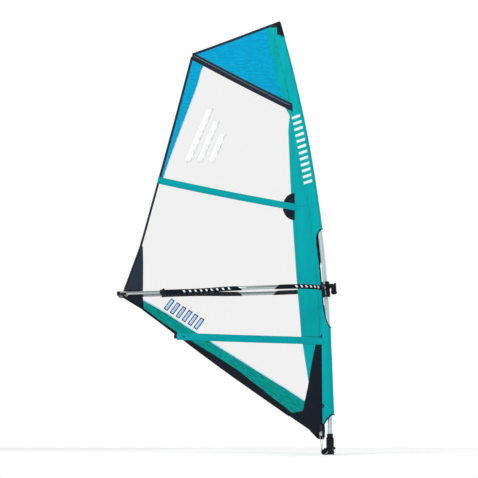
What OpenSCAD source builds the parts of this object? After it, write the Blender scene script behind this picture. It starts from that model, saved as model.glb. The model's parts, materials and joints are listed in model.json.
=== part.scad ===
// Windsurf sail rig: mast, mast extension, sail and wishbone boom.
// Origin: mouth of the bore for the board's pin. +Z up the mast, -X aft towards the clew.
// The sail lies near the plane Y = 0 and bellies towards +Y. Millimetres.

/* [Mast] */
// Outside diameter of the mast tube
mast_od = 30; // [29.4:0.1:30.2]
// Wall thickness of the mast tube
mast_wall = 2; // [1.6:0.1:2.1]
// Height at which the mast starts to bend
bend_start = 490; // [480:5:500]
// Radius of the bent part of the mast
bend_r = 9400; // [9350:10:9450]
// Height of the joint between the two halves
joint_z = 1610; // [1580:5:1640]
// Height of the top of the mast tube
mast_top = 2972; // [2966:1:2975]

/* [Mast extension] */
// Outside diameter of the extension tube
ext_od = 25; // [24.4:0.1:25.2]
// Diameter of the bore for the board's pin
pin_bore_d = 20.4; // [20:0.1:20.8]
// Depth of the bore for the board's pin
pin_bore_depth = 44; // [38:1:46]
// Height of the foot cup
cup_h = 52; // [51:0.5:52]
// Outside diameter of the foot cup
cup_d = 54; // [54:0.5:54.5]

/* [Sail] */
// Thickness of the sail cloth
cloth_t = 1; // [0.8:0.1:1.2]
// Deepest belly of the sail
camber = 46; // [20:2:50]
// Distance from the mast's centre line to the seam behind the sleeve
sleeve_depth = 54; // [53:0.5:55]
// Width of a batten pocket
pocket_w = 38; // [32:1:39]
// Thickness of a batten pocket
pocket_t = 8; // [7:0.5:9]

/* [Boom] */
// Height of the middle of the boom head
boom_z = 1113; // [1105:1:1120]
// Downward slope of the boom towards the clew, in degrees
boom_slope = 1.8; // [1.6:0.1:2]
// Outside diameter of an arm tube
arm_od = 27; // [26.5:0.1:27]
// Outside diameter of the foam grip
grip_od = 31; // [29:0.5:32]
// Outside diameter of a tail tube
tail_od = 21; // [20:0.5:21.4]
// Distance from the tilt axis to the front of the tail fitting
tail_reach = 1378; // [1377:1:1390]

/* [Lines] */
// Diameter of the downhaul and outhaul lines
line_d = 4; // [3:0.5:4]

/* [Hidden] */

$fn = 48;
bend_fn = 1440;
mast_r = mast_od / 2;
slide_gap = 0.2;

// Mast extension
plug_r = ext_od / 2 - 2.35;
ext_top = 430;
collar_top = 138;
mast_foot = 124;
sheave_pos = [-42, 0, 17];
sheave_r = 14;
tack_pos = [-57, 0, 137];
tack_sheave_r = 8;

// Sail: edges as [x, z] or as lookup tables of [z, x]
leech_at = [[1055, -1396], [1107, -1400], [1413, -1291], [1855, -1175], [2225, -1078],
            [2545, -997], [2770, -941]];
window_front_at = [[522, -142], [728, -174], [836, -186], [1171, -213], [1593, -239],
                   [1872, -254], [2225, -266], [2329, -255]];
tape_w = 14;
top_batten_ends = [[-922, 2742.8], [-262, 2396]];
middle_batten_ends = [[-1153, 1867.6], [-244, 1689]];
lower_batten_ends = [[-1034, 796], [-68, 763]];
clew_hole = [-1382, 1079];
tack_hole = [-78, 323];

// Boom head, in its own frame: the mast's centre line is its Z axis
head_tilt = asin((boom_z - bend_start) / bend_r);
head_r = 29;
head_bore_r = mast_r + 2.4;
strap_r = mast_r + 1.6;
strap_t = 3;
strap_z = [13, 35];
lever_pos = [46, 0, 24];
pivot = [-8, 0, 8];
pivot_x = mast_x(boom_z) + pivot.x * cos(head_tilt) - pivot.z * sin(head_tilt);
pivot_z = boom_z + pivot.x * sin(head_tilt) + pivot.z * cos(head_tilt);

// Boom arm: straight runs [0, length] and bends [side, radius, angle] in plan
arm_start = [14, 46];
arm_heading = 50;
arm_path = [[0, 38], [0, 32], [1, 260, 45], [1, 1700, 3.2], [1, 1700, 8.3], [1, 600, 19.5],
            [-1, 350, 26], [0, 152], [0, 33]];
arm_id = arm_od - 5;
leg = piece_start(len(arm_path));
tail_front = tail_reach - 420;

function mast_x(z) =
    z <= bend_start ? 0 : sqrt(bend_r * bend_r - pow(z - bend_start, 2)) - bend_r;
function leech_x(z) = lookup(z, leech_at);
function mix(a, b, t) = a + (b - a) * t;

// Depth of the sail's belly at height z, and the sail's own Y at [x, z]
function depth(z) = camber * (1 - pow((z - 1150) / (z > 1150 ? 1900 : 1130), 2));
function chord(x, z) =
    max(0, min(1, (mast_x(z) - x) / (mast_x(z) - leech_x(max(z, 1107)))));
function sail_y(x, z) = depth(z) * 4 * chord(x, z) * (1 - chord(x, z));

// The place and heading [x, y, heading] at the share t of one piece of the arm's path
function along(p, s, t) =
    s[0] == 0 ? [p.x + s[1] * t * cos(p[2]), p.y + s[1] * t * sin(p[2]), p[2]] :
    let (g = p[2] - s[0] * s[2] * t, r = s[0] * s[1])
    [p.x + r * (sin(p[2]) - sin(g)), p.y + r * (cos(g) - cos(p[2])), g];
function piece_start(i) =
    i == 0 ? concat(arm_start, arm_heading) : along(piece_start(i - 1), arm_path[i - 1], 1);

// A round bar from p to q
module bar(p, q, d) {
    v = q - p;
    translate(p) rotate([0, acos(v.z / norm(v)), atan2(v.y, v.x)]) cylinder(d = d, h = norm(v));
}

// A straight tube along +Z
module tube(od, id, h) {
    linear_extrude(h) difference() {
        circle(d = od);
        circle(d = id);
    }
}

// A disc or bar along Y, centred on y
module disc_y(r, y0, y1) {
    translate([0, y1, 0]) rotate([90, 0, 0]) cylinder(r = r, h = y1 - y0);
}

// The bent mast's tube between two heights
module mast_arc(z0, z1, od, id) {
    a0 = asin((z0 - bend_start) / bend_r);
    a1 = asin((z1 - bend_start) / bend_r);
    translate([-bend_r, 0, bend_start]) rotate([90, 0, 0]) rotate([0, 0, a0])
        rotate_extrude(angle = a1 - a0, $fn = bend_fn) translate([bend_r, 0]) difference() {
            circle(d = od, $fn = 48);
            if (id > 0) circle(d = id, $fn = 48);
        }
}

// Puts a piece on the mast at height z, turned along the mast
module on_mast(z) {
    translate([mast_x(z), 0, z]) rotate([0, -asin((z - bend_start) / bend_r), 0]) children();
}

// Puts a piece in the boom's frame: X aft along the boom, +Y to the right side
module on_boom() {
    translate([pivot_x, 0, pivot_z]) rotate([0, boom_slope, 180]) children();
}

// Triangles of a grid of n rows of m points, first point at index k
function grid(n, m, k, flip) = [
    for (i = [0:n - 2], j = [0:m - 2], half = [0, 1])
        let (a = k + i * m + j, b = a + 1, c = b + m, d = a + m,
             t = half == 0 ? [a, b, c] : [a, c, d])
        flip ? [t[2], t[1], t[0]] : t];

// Points round the edge of that grid, in order
function rim(n, m) = concat(
    [for (j = [0:m - 2]) j],
    [for (i = [0:n - 2]) i * m + m - 1],
    [for (j = [m - 1:-1:1]) (n - 1) * m + j],
    [for (i = [n - 1:-1:1]) i * m]);

// A panel of cloth on the sail's surface, ruled between two edges of [x, z] points
module cloth(a, b, cuts = 4, t = cloth_t, lift = 0) {
    n = len(a);
    m = cuts + 1;
    k = n * m;
    mid = floor((n - 1) / 2);
    u = a[mid + 1] - a[mid];
    v = b[mid] - a[mid] + b[mid + 1] - a[mid + 1];
    flip = u.x * v.y - u.y * v.x > 0;
    flat = [for (i = [0:n - 1], j = [0:cuts]) mix(a[i], b[i], j / cuts)];
    near = [for (p = flat) [p.x, sail_y(p.x, p.y) + lift - t / 2, p.y]];
    far = [for (p = near) p + [0, t, 0]];
    edge = rim(n, m);
    sides = [
        for (i = [0:len(edge) - 1], half = [0, 1])
            let (p = edge[i], q = edge[(i + 1) % len(edge)],
                 f = half == 0 ? [q, p, p + k] : [q, p + k, q + k])
            flip ? [f[2], f[1], f[0]] : f];
    polyhedron(points = concat(near, far), convexity = 4,
        faces = concat(grid(n, m, 0, flip), grid(n, m, k, !flip), sides));
}

// Side triangles between rings of m points, first point at index k
function ring_sides(n, m, k, flip) = [
    for (i = [0:n - 2], j = [0:m - 1], half = [0, 1])
        let (a = k + i * m + j, b = k + i * m + (j + 1) % m, c = b + m, d = a + m,
             t = half == 0 ? [a, b, c] : [a, c, d])
        flip ? [t[2], t[1], t[0]] : t];

// Triangles that close one end between an outer and an inner ring
function ring_end(m, ko, ki, flip) = [
    for (j = [0:m - 1], half = [0, 1])
        let (a = ko + j, b = ko + (j + 1) % m, c = ki + (j + 1) % m, d = ki + j,
             t = half == 0 ? [a, b, c] : [a, c, d])
        flip ? [t[2], t[1], t[0]] : t];

// A hollow skin through outer and inner sections, open at both ends
module skin(outer, inner) {
    n = len(outer);
    m = len(outer[0]);
    k = n * m;
    flatten = [for (s = [outer, inner], r = s, p = r) p];
    polyhedron(points = flatten, convexity = 4, faces = concat(
        ring_sides(n, m, 0, false), ring_sides(n, m, k, true),
        ring_end(m, 0, k, true), ring_end(m, k - m, 2 * k - m, false)));
}

// A solid through convex sections
module solid(s) {
    n = len(s);
    m = len(s[0]);
    polyhedron(points = [for (r = s, p = r) p], convexity = 4, faces = concat(
        ring_sides(n, m, 0, false),
        [[for (j = [m - 1:-1:0]) j], [for (j = [0:m - 1]) (n - 1) * m + j]]));
}

// Sections of a flat strip w wide and t thick along the sail from p to q
function strip(p, q, w, t, cuts, bevel = 4) =
    let (u = (q - p) / norm(q - p), s = [-u.y, u.x])
    [for (i = [0:cuts]) let (c = mix(p, q, i / cuts)) [
        for (e = [[-w / 2, 0], [bevel - w / 2, -t / 2], [w / 2 - bevel, -t / 2], [w / 2, 0],
                  [w / 2 - bevel, t / 2], [bevel - w / 2, t / 2]])
            let (x = c.x + s.x * e.x, z = c.y + s.y * e.x)
            [x, sail_y(x, z) + e.y, z]]];

// One section of the sleeve at height z: round over the mast, then tapering to its seam.
// drop and hem let an end of the sleeve be cut along a curve that follows the mast.
function sleeve_point(z, r, x, y, drop, hem) =
    let (h = z + drop * pow((r - x) / 80, hem)) [mast_x(h) + x, y, h];
function teardrop(z, r, back, drop, hem) =
    let (tail = sail_y(mast_x(z) - back, z))
    concat(
        [for (a = [-108:18:108]) sleeve_point(z, r, r * cos(a), r * sin(a), drop, hem)],
        [for (side = [0.6, -0.6]) sleeve_point(z, r, -back, tail + side, drop, hem)]);
function sleeve_r(z) = mast_r + 3 + 12 * pow(max(0, 720 - z) / 455, 1.3);

// Sleeve between stations [height, drop, hem]
module sleeve(stations) {
    wall = 1.2;
    skin([for (s = stations) teardrop(s[0], sleeve_r(s[0]), sleeve_depth, s[1], s[2])],
         [for (s = stations)
             teardrop(s[0], sleeve_r(s[0]) - wall, sleeve_depth - 7, s[1], s[2])]);
}

// Sections of d round the arm's path, from piece first to piece last
function arm_sections(first, last, d) =
    let (stations = concat(
        [for (i = [first:last])
            let (p = piece_start(i), s = arm_path[i], n = s[0] == 0 ? 1 : ceil(s[2] / 5))
            for (k = [0:n - 1]) along(p, s, k / n)],
        [piece_start(last + 1)]))
    [for (p = stations) [for (a = [0:18:342])
        [p.x - d / 2 * cos(a) * sin(p[2]), p.y + d / 2 * cos(a) * cos(p[2]),
         d / 2 * sin(a)]]];

module arm_run(first, last, od, id) {
    skin(arm_sections(first, last, od), arm_sections(first, last, id));
}

module arm_frame() {
    translate([arm_start.x, arm_start.y, 0]) rotate([0, 0, arm_heading]) children();
}

module both_sides() {
    children();
    mirror([0, 1, 0]) children();
}

// A grooved sheave that turns about Y
module sheave(r, w, bore) {
    groove = w / 2 - 1;
    rotate([90, 0, 0]) rotate_extrude() polygon([
        [bore, -w / 2], [r, -w / 2], [r, -groove], [r - 3, -0.8], [r - 3, 0.8], [r, groove],
        [r, w / 2], [bore, w / 2]]);
}

// --- Mast base and extension ---

module foot_cup() {
    color("#15171b") {
        difference() {
            union() {
                cylinder(d = cup_d, h = cup_h);
                translate([20, 0, 42]) rotate([0, 90, 0]) cylinder(r = 9, h = 11);
            }
            translate([0, 0, -1]) cylinder(d = pin_bore_d, h = pin_bore_depth + 1);
            translate([21, 0, 42]) rotate([0, 90, 0]) cylinder(r = 6.3, h = 11);
        }
        translate([0, 0, cup_h]) cylinder(r = plug_r, h = 38);
    }
}

module extension_tube() {
    color("#b9bdc2") translate([0, 0, cup_h]) difference() {
        tube(ext_od, plug_r * 2 + 0.1, ext_top - cup_h);
        for (z = [48:25:223]) translate([0, 0, z]) disc_y(2.6, -20, 20);
    }
}

module release_button() {
    color("#24272d") translate([26, 0, 42]) rotate([0, 90, 0]) cylinder(r = 6, h = 10);
}

module downhaul_block() {
    color("#15171b") difference() {
        for (y = [[-14.5, -11], [-1.2, 1.2], [11, 14.5]]) {
            translate(sheave_pos) disc_y(18.5, y[0], y[1]);
            translate([sheave_pos.x, y[0], -1.5]) cube([25, y[1] - y[0], 44]);
        }
        translate([0, 0, -5]) cylinder(d = cup_d, h = 60);
        translate(sheave_pos) disc_y(3.05, -20, 20);
    }
}

module base_sheave(y) {
    color("#8f949b") translate(sheave_pos + [0, y, 0]) sheave(sheave_r, 8.6, 3.2);
}
module base_sheave_right() { base_sheave(-6.1); }
module base_sheave_left() { base_sheave(6.1); }

module base_axle() {
    color("#c9ccd0") translate(sheave_pos) {
        disc_y(3, -14.5, 14.5);
        disc_y(5, -16.5, -14.5);
        disc_y(5, 14.5, 16.5);
    }
}

module downhaul_cleat() {
    color("#2b2f35") difference() {
        union() {
            translate([-14, -36, 18]) cube([28, 14, 8]);
            for (x = [-14, 4]) translate([x, -36, 10]) cube([10, 14, 24]);
        }
        cylinder(d = cup_d, h = 60);
    }
}

module extension_collar() {
    color("#15171b") {
        rotate_extrude() difference() {
            translate([0, cup_h + slide_gap]) {
                square([26, 60]);
                square([20.5, collar_top - cup_h - slide_gap]);
            }
            square([ext_od / 2 + 0.3, 400], center = true);
            translate([0, 50]) square([ext_od / 2 + 0.3, 100]);
            translate([0, mast_foot]) square([mast_r + 0.1, 100]);
        }
        for (x = [-16.5, 12.7]) difference() {
            translate([x, -35, 94]) cube([3.8, 17, 12]);
            cylinder(r = 26, h = 120);
            translate([x - 1, -31, 100]) rotate([0, 90, 0]) cylinder(r = 2.1, h = 6);
        }
    }
}

module collar_lever() {
    color("#3a3f46") {
        translate([-12, -31, 100]) rotate([0, 90, 0]) cylinder(r = 3.6, h = 24);
        translate([-16.2, -31, 100]) rotate([0, 90, 0]) cylinder(r = 2, h = 32.4);
        translate([-11, -32.4, 66]) cube([22, 4.4, 34]);
        translate([-11, -30.2, 66]) rotate([0, 90, 0]) cylinder(r = 2.2, h = 22);
    }
}

// --- Mast ---

module mast_bottom_section() {
    color("#b8c4c8") {
        translate([0, 0, mast_foot])
            tube(mast_od, mast_od - 2 * mast_wall, bend_start - mast_foot);
        mast_arc(bend_start, joint_z, mast_od, mast_od - 2 * mast_wall);
    }
}

module mast_top_section() {
    color("#b8c4c8") mast_arc(joint_z, mast_top, mast_od, mast_od - 2 * mast_wall);
}

module mast_ferrule() {
    color("#8a9095")
        mast_arc(joint_z - 130, joint_z + 130, mast_od - 2 * mast_wall - 0.1, 20);
}

module mast_tip_plug() {
    color("#1c1e22") on_mast(mast_top) {
        translate([0, 0, -36]) cylinder(d = mast_od - 2 * mast_wall - 0.1, h = 36);
        cylinder(d = mast_od, h = 5);
    }
}

// --- Sail ---

module luff_sleeve_upper() {
    color("#0aa8ad") sleeve([
        [1530, -64, 1.3], [1560, -30, 1.3], [1600, 0, 1], [1780, 0, 1], [1960, 0, 1],
        [2140, 0, 1], [2320, 0, 1], [2500, 0, 1], [2700, 0, 1], [2895, 0, 1]]);
}

module luff_sleeve_lower() {
    color("#0aa8ad") sleeve([
        [267, -56, 2], [310, -20, 2], [370, 0, 1], [450, 0, 1], [540, 0, 1], [640, 0, 1],
        [740, 0, 1], [800, 20, 1.2], [851, 92, 1.2]]);
}

module luff_web() {
    color("#0a9ea5") cloth(
        [[-40, 932], for (z = [1000:80:1400]) [mast_x(z) - 28.5, z], [-86, 1483]],
        [[-62.5, 962], for (z = [1000:80:1400]) [mast_x(z) - sleeve_depth - 0.5, z],
         [-103, 1458]], 2);
}

module cutout_binding() {
    color("#1d2229") cloth(
        [for (z = [930:70:1490]) [mast_x(z) - 21.5, z]],
        [for (z = [930:70:1490]) [mast_x(z) - 27.5, z]], 1, 3);
}

// Rows of the luff panel from the window's or head panel's edge to the sleeve's seam
function luff_aft(z) = [lookup(z, window_front_at) + 0.5, z];
function luff_fore(z) = [mast_x(z) - sleeve_depth - 1, z];

module luff_panel_head() {
    color("#0aa8ad") cloth(
        [for (t = [0:0.2:1]) mix([-306, 2443], [-420, 2948], t)],
        [[-262, 2420], luff_fore(2549), luff_fore(2649), luff_fore(2780), luff_fore(2898),
         [-362, 2968]], 2);
}

module luff_panel_upper() {
    color("#0aa8ad") cloth(
        [[-281, 2376], [-256, 2329], for (z = [2225:-125:1850]) luff_aft(z), [-246, 1720],
         [-231, 1690]],
        [luff_fore(2372), luff_fore(2329), for (z = [2225:-125:1850]) luff_fore(z),
         luff_fore(1720), luff_fore(1690)], 3);
}

module luff_panel_middle() {
    color("#0aa8ad") cloth(
        [[-231, 1689], [-242, 1660], for (z = [1600:-100:900]) luff_aft(z), [-184, 792]],
        [luff_fore(1689), luff_fore(1660), for (z = [1600:-100:900]) luff_fore(z), [-69, 792]], 3);
}

module luff_panel_lower() {
    color("#0aa8ad") cloth(
        [[-175, 742], [-166, 680], [-157, 620], [-143, 536]],
        [[-92, 741], [-104, 680], [-117, 620], [-134, 545]], 2);
}

module head_panel() {
    color("#0a9cc8") cloth(
        [[-916, 2761], [-750, 2824], [-590, 2886], [-422, 2948]],
        [[-894, 2752], [-720, 2661], [-510, 2551], [-309, 2446]], 4);
}

module head_cap() {
    color("#2b3038") on_mast(2900) rotate_extrude() polygon([
        [mast_r + 2.4, 0], [mast_r + 4.6, 0], [mast_r + 4.6, 88], [mast_r + 2, 96],
        [8, 100], [0, 101], [0, 98], [mast_r, 93], [mast_r + 2.4, 87]]);
}

module edge_tape() {
    color("#1d2b3d") {
        cloth([for (x = [-940:82:-366]) [x, mix(2770, 2999, (x + 940) / 600)]],
              [for (x = [-940:82:-366]) [x + 5, mix(2757, 2985, (x + 940) / 600)]], 1, 2.4);
        cloth([for (z = [2745:-96:1113]) [leech_x(z), z]],
              [for (z = [2745:-96:1113]) [leech_x(z) + tape_w, z]], 1, 2.4);
    }
}

module leech_panel() {
    color("#0981b4") cloth(
        [for (z = [2720:-80:1920]) [leech_x(z) + tape_w + 0.5, z], [-1152, 1888]],
        [for (z = [2720:-80:1920]) [lookup(z, [[1888, -1142], [1980, -1113], [2225, -1026],
            [2545, -909], [2720, -866]]), z - max(0, z - 2640) / 2.5], [-1142, 1888]], 2);
}

module upper_window() {
    color("#eef2f4", 0.5) cloth(
        [[-864, 2687], [-908, 2545], [-1025, 2225], [-1112, 1980], [-1141, 1886]],
        [[-285, 2377], [-259, 2328], [-267, 2225], [-255, 1872], [-247, 1712]], 6);
}

module middle_window() {
    color("#eef2f4", 0.5) cloth(
        [[-1152, 1844], [-1213, 1630], [-1274, 1413], [-1270, 1400], [-1269, 1107],
         [-1263, 1037], [-1109, 950], [-891, 814]],
        [[-245, 1668], [-239, 1540], [-231, 1413], [-228, 1370], [-212, 1130], [-205, 1040],
         [-198, 930], [-185, 790]], 6);
}

module lower_window() {
    color("#eef2f4", 0.5) cloth(
        [[-788, 764], [-480, 755], [-178, 744], [-145, 524], [-155, 430]],
        [[-800, 752], [-620, 639], [-441, 526], [-300, 437], [-176, 362]], 3);
}

// The room that the lower batten's pocket and cap take where they cross the foot
module lower_pocket_room() {
    ends = lower_batten_ends;
    u = (ends[1] - ends[0]) / norm(ends[1] - ends[0]);
    solid(strip(ends[0] - u * 22, ends[1], pocket_w + 1, pocket_t + 1, 10));
}

module foot_panel() {
    color("#09998f") difference() {
        cloth(
            [[-1264, 1034], [-1109, 946], [-880, 803], [-804, 751], [-600, 624], [-441, 523],
             [-300, 436], [-178, 357]],
            [[-1264, 986], [-1140, 892], [-930, 757], [-800, 678], [-634, 572], [-500, 468],
             [-380, 373], [-256, 278]], 2);
        lower_pocket_room();
    }
}

module foot_band() {
    color("#1b2027") difference() {
        cloth(
            [[-1264, 984], [-1140, 890], [-930, 755], [-800, 676], [-634, 570], [-500, 466],
             [-380, 371], [-258, 276]],
            [[-1264, 974], [-1150, 890], [-960, 748], [-830, 651], [-660, 527], [-530, 436],
             [-410, 352], [-277, 259]], 2);
        lower_pocket_room();
    }
}

module clew_patch() {
    color("#323f4d") {
        cloth([[-1276, 1407], [-1315, 1300], [-1350, 1200], [-1385, 1108]],
              [[-1275, 1405], [-1272, 1300], [-1272, 1200], [-1272, 1108]], 2);
        cloth([[-1397, 1107], [-1397, 1082], [-1394, 1055]],
              [[-1272, 1107], [-1272, 1060], [-1266, 978]], 3);
    }
}

module tack_patch() {
    color("#1b2027") {
        cloth([[-92, 740], [-125, 579], [-147, 451], [-168, 357], [-180, 330], [-252, 277],
               [-274, 257]],
              [[-57, 738], [-57, 579], [-57, 451], [-57, 357], [-56, 296], [-56, 200],
               [-82, 125]], 3);
    }
}

module luff_patch() {
    color("#1b2027") for (side = [-1, 1]) cloth(
        [for (a = [-80:20:80]) [-236 - 70 * cos(a), 1689 + 90 * sin(a)]],
        [for (a = [-80:20:80]) [-232, 1689 + 90 * sin(a)]], 2, 1,
        side * (pocket_t / 2 + 1));
}

module pocket(ends) {
    skin(strip(ends[0], ends[1], pocket_w, pocket_t, 10),
         strip(ends[0], ends[1], pocket_w - 10, pocket_t - 2.4, 10, 2));
}
module top_pocket() { color("#1d2b3d") pocket(top_batten_ends); }
module middle_pocket() { color("#08969c") pocket(middle_batten_ends); }
module lower_pocket() { color("#08969c") pocket(lower_batten_ends); }

module batten(ends) {
    inset = (ends[1] - ends[0]) / norm(ends[1] - ends[0]) * 2;
    solid(strip(ends[0] + inset, ends[1] - inset, 22, 3.6, 10, 1));
}
module top_batten() { color("#d9dcd6") batten(top_batten_ends); }
module middle_batten() { color("#d9dcd6") batten(middle_batten_ends); }
module lower_batten() { color("#d9dcd6") batten(lower_batten_ends); }

// A batten's end cap: two halves, one on each face of the sail
module batten_cap(ends) {
    u = (ends[1] - ends[0]) / norm(ends[1] - ends[0]);
    for (side = [-1, 1]) translate([0, side * 3.1, 0])
        solid(strip(ends[0] - u * 20, ends[0] - u * 0.5, pocket_w - 4, 3.2, 1, 3));
}
module batten_caps() {
    color("#1b2027") for (ends = [top_batten_ends, middle_batten_ends, lower_batten_ends])
        batten_cap(ends);
}

// A brass ring pressed through the cloth
module sail_ring(p, r) {
    translate([p.x, sail_y(p.x, p.y), p.y]) rotate([90, 0, 0]) rotate_extrude() polygon([
        [r, -2.2], [r + 5, -2.2], [r + 6, -1.2], [r + 6, 1.2], [r + 5, 2.2], [r, 2.2]]);
}
module clew_ring() { color("#c8ccd0") sail_ring(clew_hole, 7); }
module tack_ring() { color("#c8ccd0") sail_ring(tack_hole, 6); }

module tack_block() {
    color("#c8ccd0") translate(tack_pos) {
        for (y = [-8, 6]) {
            disc_y(12, y, y + 2);
            translate([-6, y, 0]) cube([12, 2, 46]);
        }
        translate([-6, -8, 24]) cube([12, 16, 22]);
        disc_y(2.95, -8, 8);
    }
}

module tack_sheave() {
    color("#24272d") translate(tack_pos) sheave(tack_sheave_r + 2, 10, 3);
}

module downhaul_line() {
    color("#d8dade") {
        bar([-69.6, 0, 137], [-58.6, -6, 24], line_d);
        bar([-44.4, 0, 137], [-58.6, 6, 24], line_d);
    }
}

// --- Boom head ---

module boom_head() {
    color("#14161a") on_mast(boom_z) difference() {
        union() {
            translate([0, 0, -52]) cylinder(r = head_r, h = 105);
            translate([20, -13, 4]) cube([13, 26, 28]);
            translate(pivot) disc_y(9, -29.3, 29.3);
        }
        translate([0, 0, -60]) cylinder(r = head_bore_r, h = 120);
        translate([-40, -head_bore_r, -60]) cube([40, 2 * head_bore_r, 120]);
        translate([-17, -40, 31]) cube([14, 80, 30]);
        translate([-10, -40, -44]) cube([11, 80, 42]);
        for (y = [-strap_r - strap_t - 0.3, strap_r - 0.3])
            translate([-40, y, strap_z[0] - 0.5])
                cube([80, strap_t + 0.6, strap_z[1] - strap_z[0] + 1]);
        translate(pivot) disc_y(4.02, -40, 40);
    }
}

module head_liner() {
    color("#4a4e54") on_mast(boom_z) translate([0, 0, -50]) difference() {
        cylinder(r = head_bore_r, h = 60);
        translate([0, 0, -1]) cylinder(r = mast_r + 0.6, h = 62);
        translate([-40, -40, -1]) cube([43, 80, 62]);
    }
}

module mast_strap() {
    h = strap_z[1] - strap_z[0];
    color("#9aa0a6") on_mast(boom_z) {
        translate([0, 0, strap_z[0]]) difference() {
            union() {
                cylinder(r = strap_r + strap_t, h = h);
                translate([0, -strap_r - strap_t, 0])
                    cube([lever_pos.x, 2 * (strap_r + strap_t), h]);
                translate([lever_pos.x, 0, h / 2])
                    disc_y(h / 2, -strap_r - strap_t, strap_r + strap_t);
            }
            translate([0, 0, -1]) cylinder(r = strap_r, h = h + 2);
            translate([0, -strap_r, -1]) cube([90, 2 * strap_r, h + 2]);
            translate([lever_pos.x, 0, h / 2]) disc_y(3.1, -40, 40);
        }
    }
}

module clamp_lever() {
    color("#1b1e23") on_mast(boom_z) {
        translate(lever_pos) {
            disc_y(9, -13, 13);
            disc_y(3, -22, 22);
            translate([0, -13, -8]) cube([16, 26, 16]);
        }
        translate([58, -16, -26]) cube([14, 32, 56]);
        translate([65, 0, 30]) disc_y(9, -16, 16);
        translate([64, 0, -26]) disc_y(11, -16, 16);
    }
}

module pivot_bolts() {
    color("#c8ccd0") on_mast(boom_z) translate(pivot) both_sides() {
        disc_y(4, 21, 43);
        disc_y(7, 43, 46);
    }
}

// --- Boom frame ---

module arm_sockets() {
    color("#1b1e23") on_boom() both_sides() difference() {
        union() {
            disc_y(15, 29.6, 42.5);
            arm_frame() translate([-16, 0, 0]) rotate([0, 90, 0]) cylinder(r = 17.5, h = 54);
        }
        arm_frame() rotate([0, 90, 0]) cylinder(d = arm_od + 0.1, h = 60);
        translate([-60, -30.4, -40]) cube([140, 60, 80]);
        disc_y(4.1, 20, 60);
        disc_y(7.3, 42.5, 60);
    }
}

module right_arm() {
    color("#b8bdc1") on_boom() arm_run(0, 8, arm_od, arm_id);
}

module left_arm() {
    color("#b8bdc1") on_boom() mirror([0, 1, 0]) arm_run(0, 8, arm_od, arm_id);
}

module boom_grips() {
    color("#1a1c20") on_boom() both_sides() {
        arm_run(1, 3, grip_od, arm_od + 0.1);
        arm_run(5, 7, grip_od, arm_od + 0.1);
    }
}

module arm_end_collars() {
    color("#1a1c20") on_boom() both_sides() {
        translate([leg.x - 32.8, leg.y, 0]) rotate([0, 90, 0]) tube(33, arm_od + 0.1, 32.8);
        translate([leg.x, leg.y, 0]) rotate([0, 90, 0]) tube(33, tail_od + 0.8, 7);
        translate([leg.x - 16, leg.y, 14.6]) tube(15, 8.6, 7);
    }
}

module right_lock_button() {
    color("#24272d") on_boom() translate([leg.x - 16, leg.y, 19])
        cylinder(r = 4, h = 6);
}

// Tail tubes, joined by the moulded fitting that carries the outhaul sheave
module tail_bow() {
    color("#a9aeb2") on_boom() both_sides() translate([tail_front, leg.y, 0])
        rotate([0, 90, 0]) tube(tail_od, tail_od - 3, tail_reach - tail_front);
    color("#16181c") on_boom() difference() {
        union() {
            translate([tail_reach, -leg.y, -12.5]) cube([30, 2 * leg.y, 25]);
            both_sides() {
                translate([tail_reach - 34, leg.y, 0]) rotate([0, 90, 0])
                    cylinder(r = 13.5, h = 50);
                translate([tail_reach + 15, leg.y, -12.5]) cylinder(r = 15, h = 25);
            }
        }
        both_sides() translate([tail_reach - 40, leg.y, 0]) rotate([0, 90, 0])
            cylinder(d = tail_od, h = 40);
        translate([tail_reach + 14, 0, -5.2]) cylinder(r = 12.5, h = 10.4);
        translate([tail_reach - 5, -12.5, -5.2]) cube([19, 25, 10.4]);
    }
    color("#c8ccd0") on_boom() translate([tail_reach + 14, 0, -12.5]) cylinder(r = 2.9, h = 25);
}

module tail_sheave() {
    color("#8f949b") on_boom() translate([tail_reach + 14, 0, 0]) rotate([90, 0, 0])
        sheave(10, 9, 3.1);
}

module outhaul_line() {
    color("#d8dade") on_boom()
        bar([tail_reach - 1, leg.y - 22, 0], [leg.x + 8, leg.y - 22, 0], line_d);
}

foot_cup();
extension_tube();
release_button();
downhaul_block();
base_sheave_right();
base_sheave_left();
base_axle();
downhaul_cleat();
extension_collar();
collar_lever();
mast_bottom_section();
mast_ferrule();
mast_top_section();
mast_tip_plug();
luff_sleeve_upper();
luff_sleeve_lower();
luff_web();
cutout_binding();
luff_panel_head();
luff_panel_upper();
luff_panel_middle();
luff_panel_lower();
head_panel();
head_cap();
edge_tape();
leech_panel();
upper_window();
middle_window();
lower_window();
foot_panel();
foot_band();
clew_patch();
tack_patch();
luff_patch();
top_pocket();
middle_pocket();
lower_pocket();
top_batten();
middle_batten();
lower_batten();
batten_caps();
clew_ring();
tack_ring();
tack_block();
tack_sheave();
downhaul_line();
boom_head();
head_liner();
mast_strap();
clamp_lever();
pivot_bolts();
arm_sockets();
left_arm();
right_arm();
boom_grips();
arm_end_collars();
right_lock_button();
tail_bow();
tail_sheave();
outhaul_line();
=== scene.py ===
"""Windsurf sail rig: the looks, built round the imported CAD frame.

Metres, +Z up the mast, -X aft to the clew. The sail lies near Y = 0 and bellies to +Y.
"""

import json
import math

import bmesh
import bpy
import numpy as np
from mathutils import Matrix, Vector, noise


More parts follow.
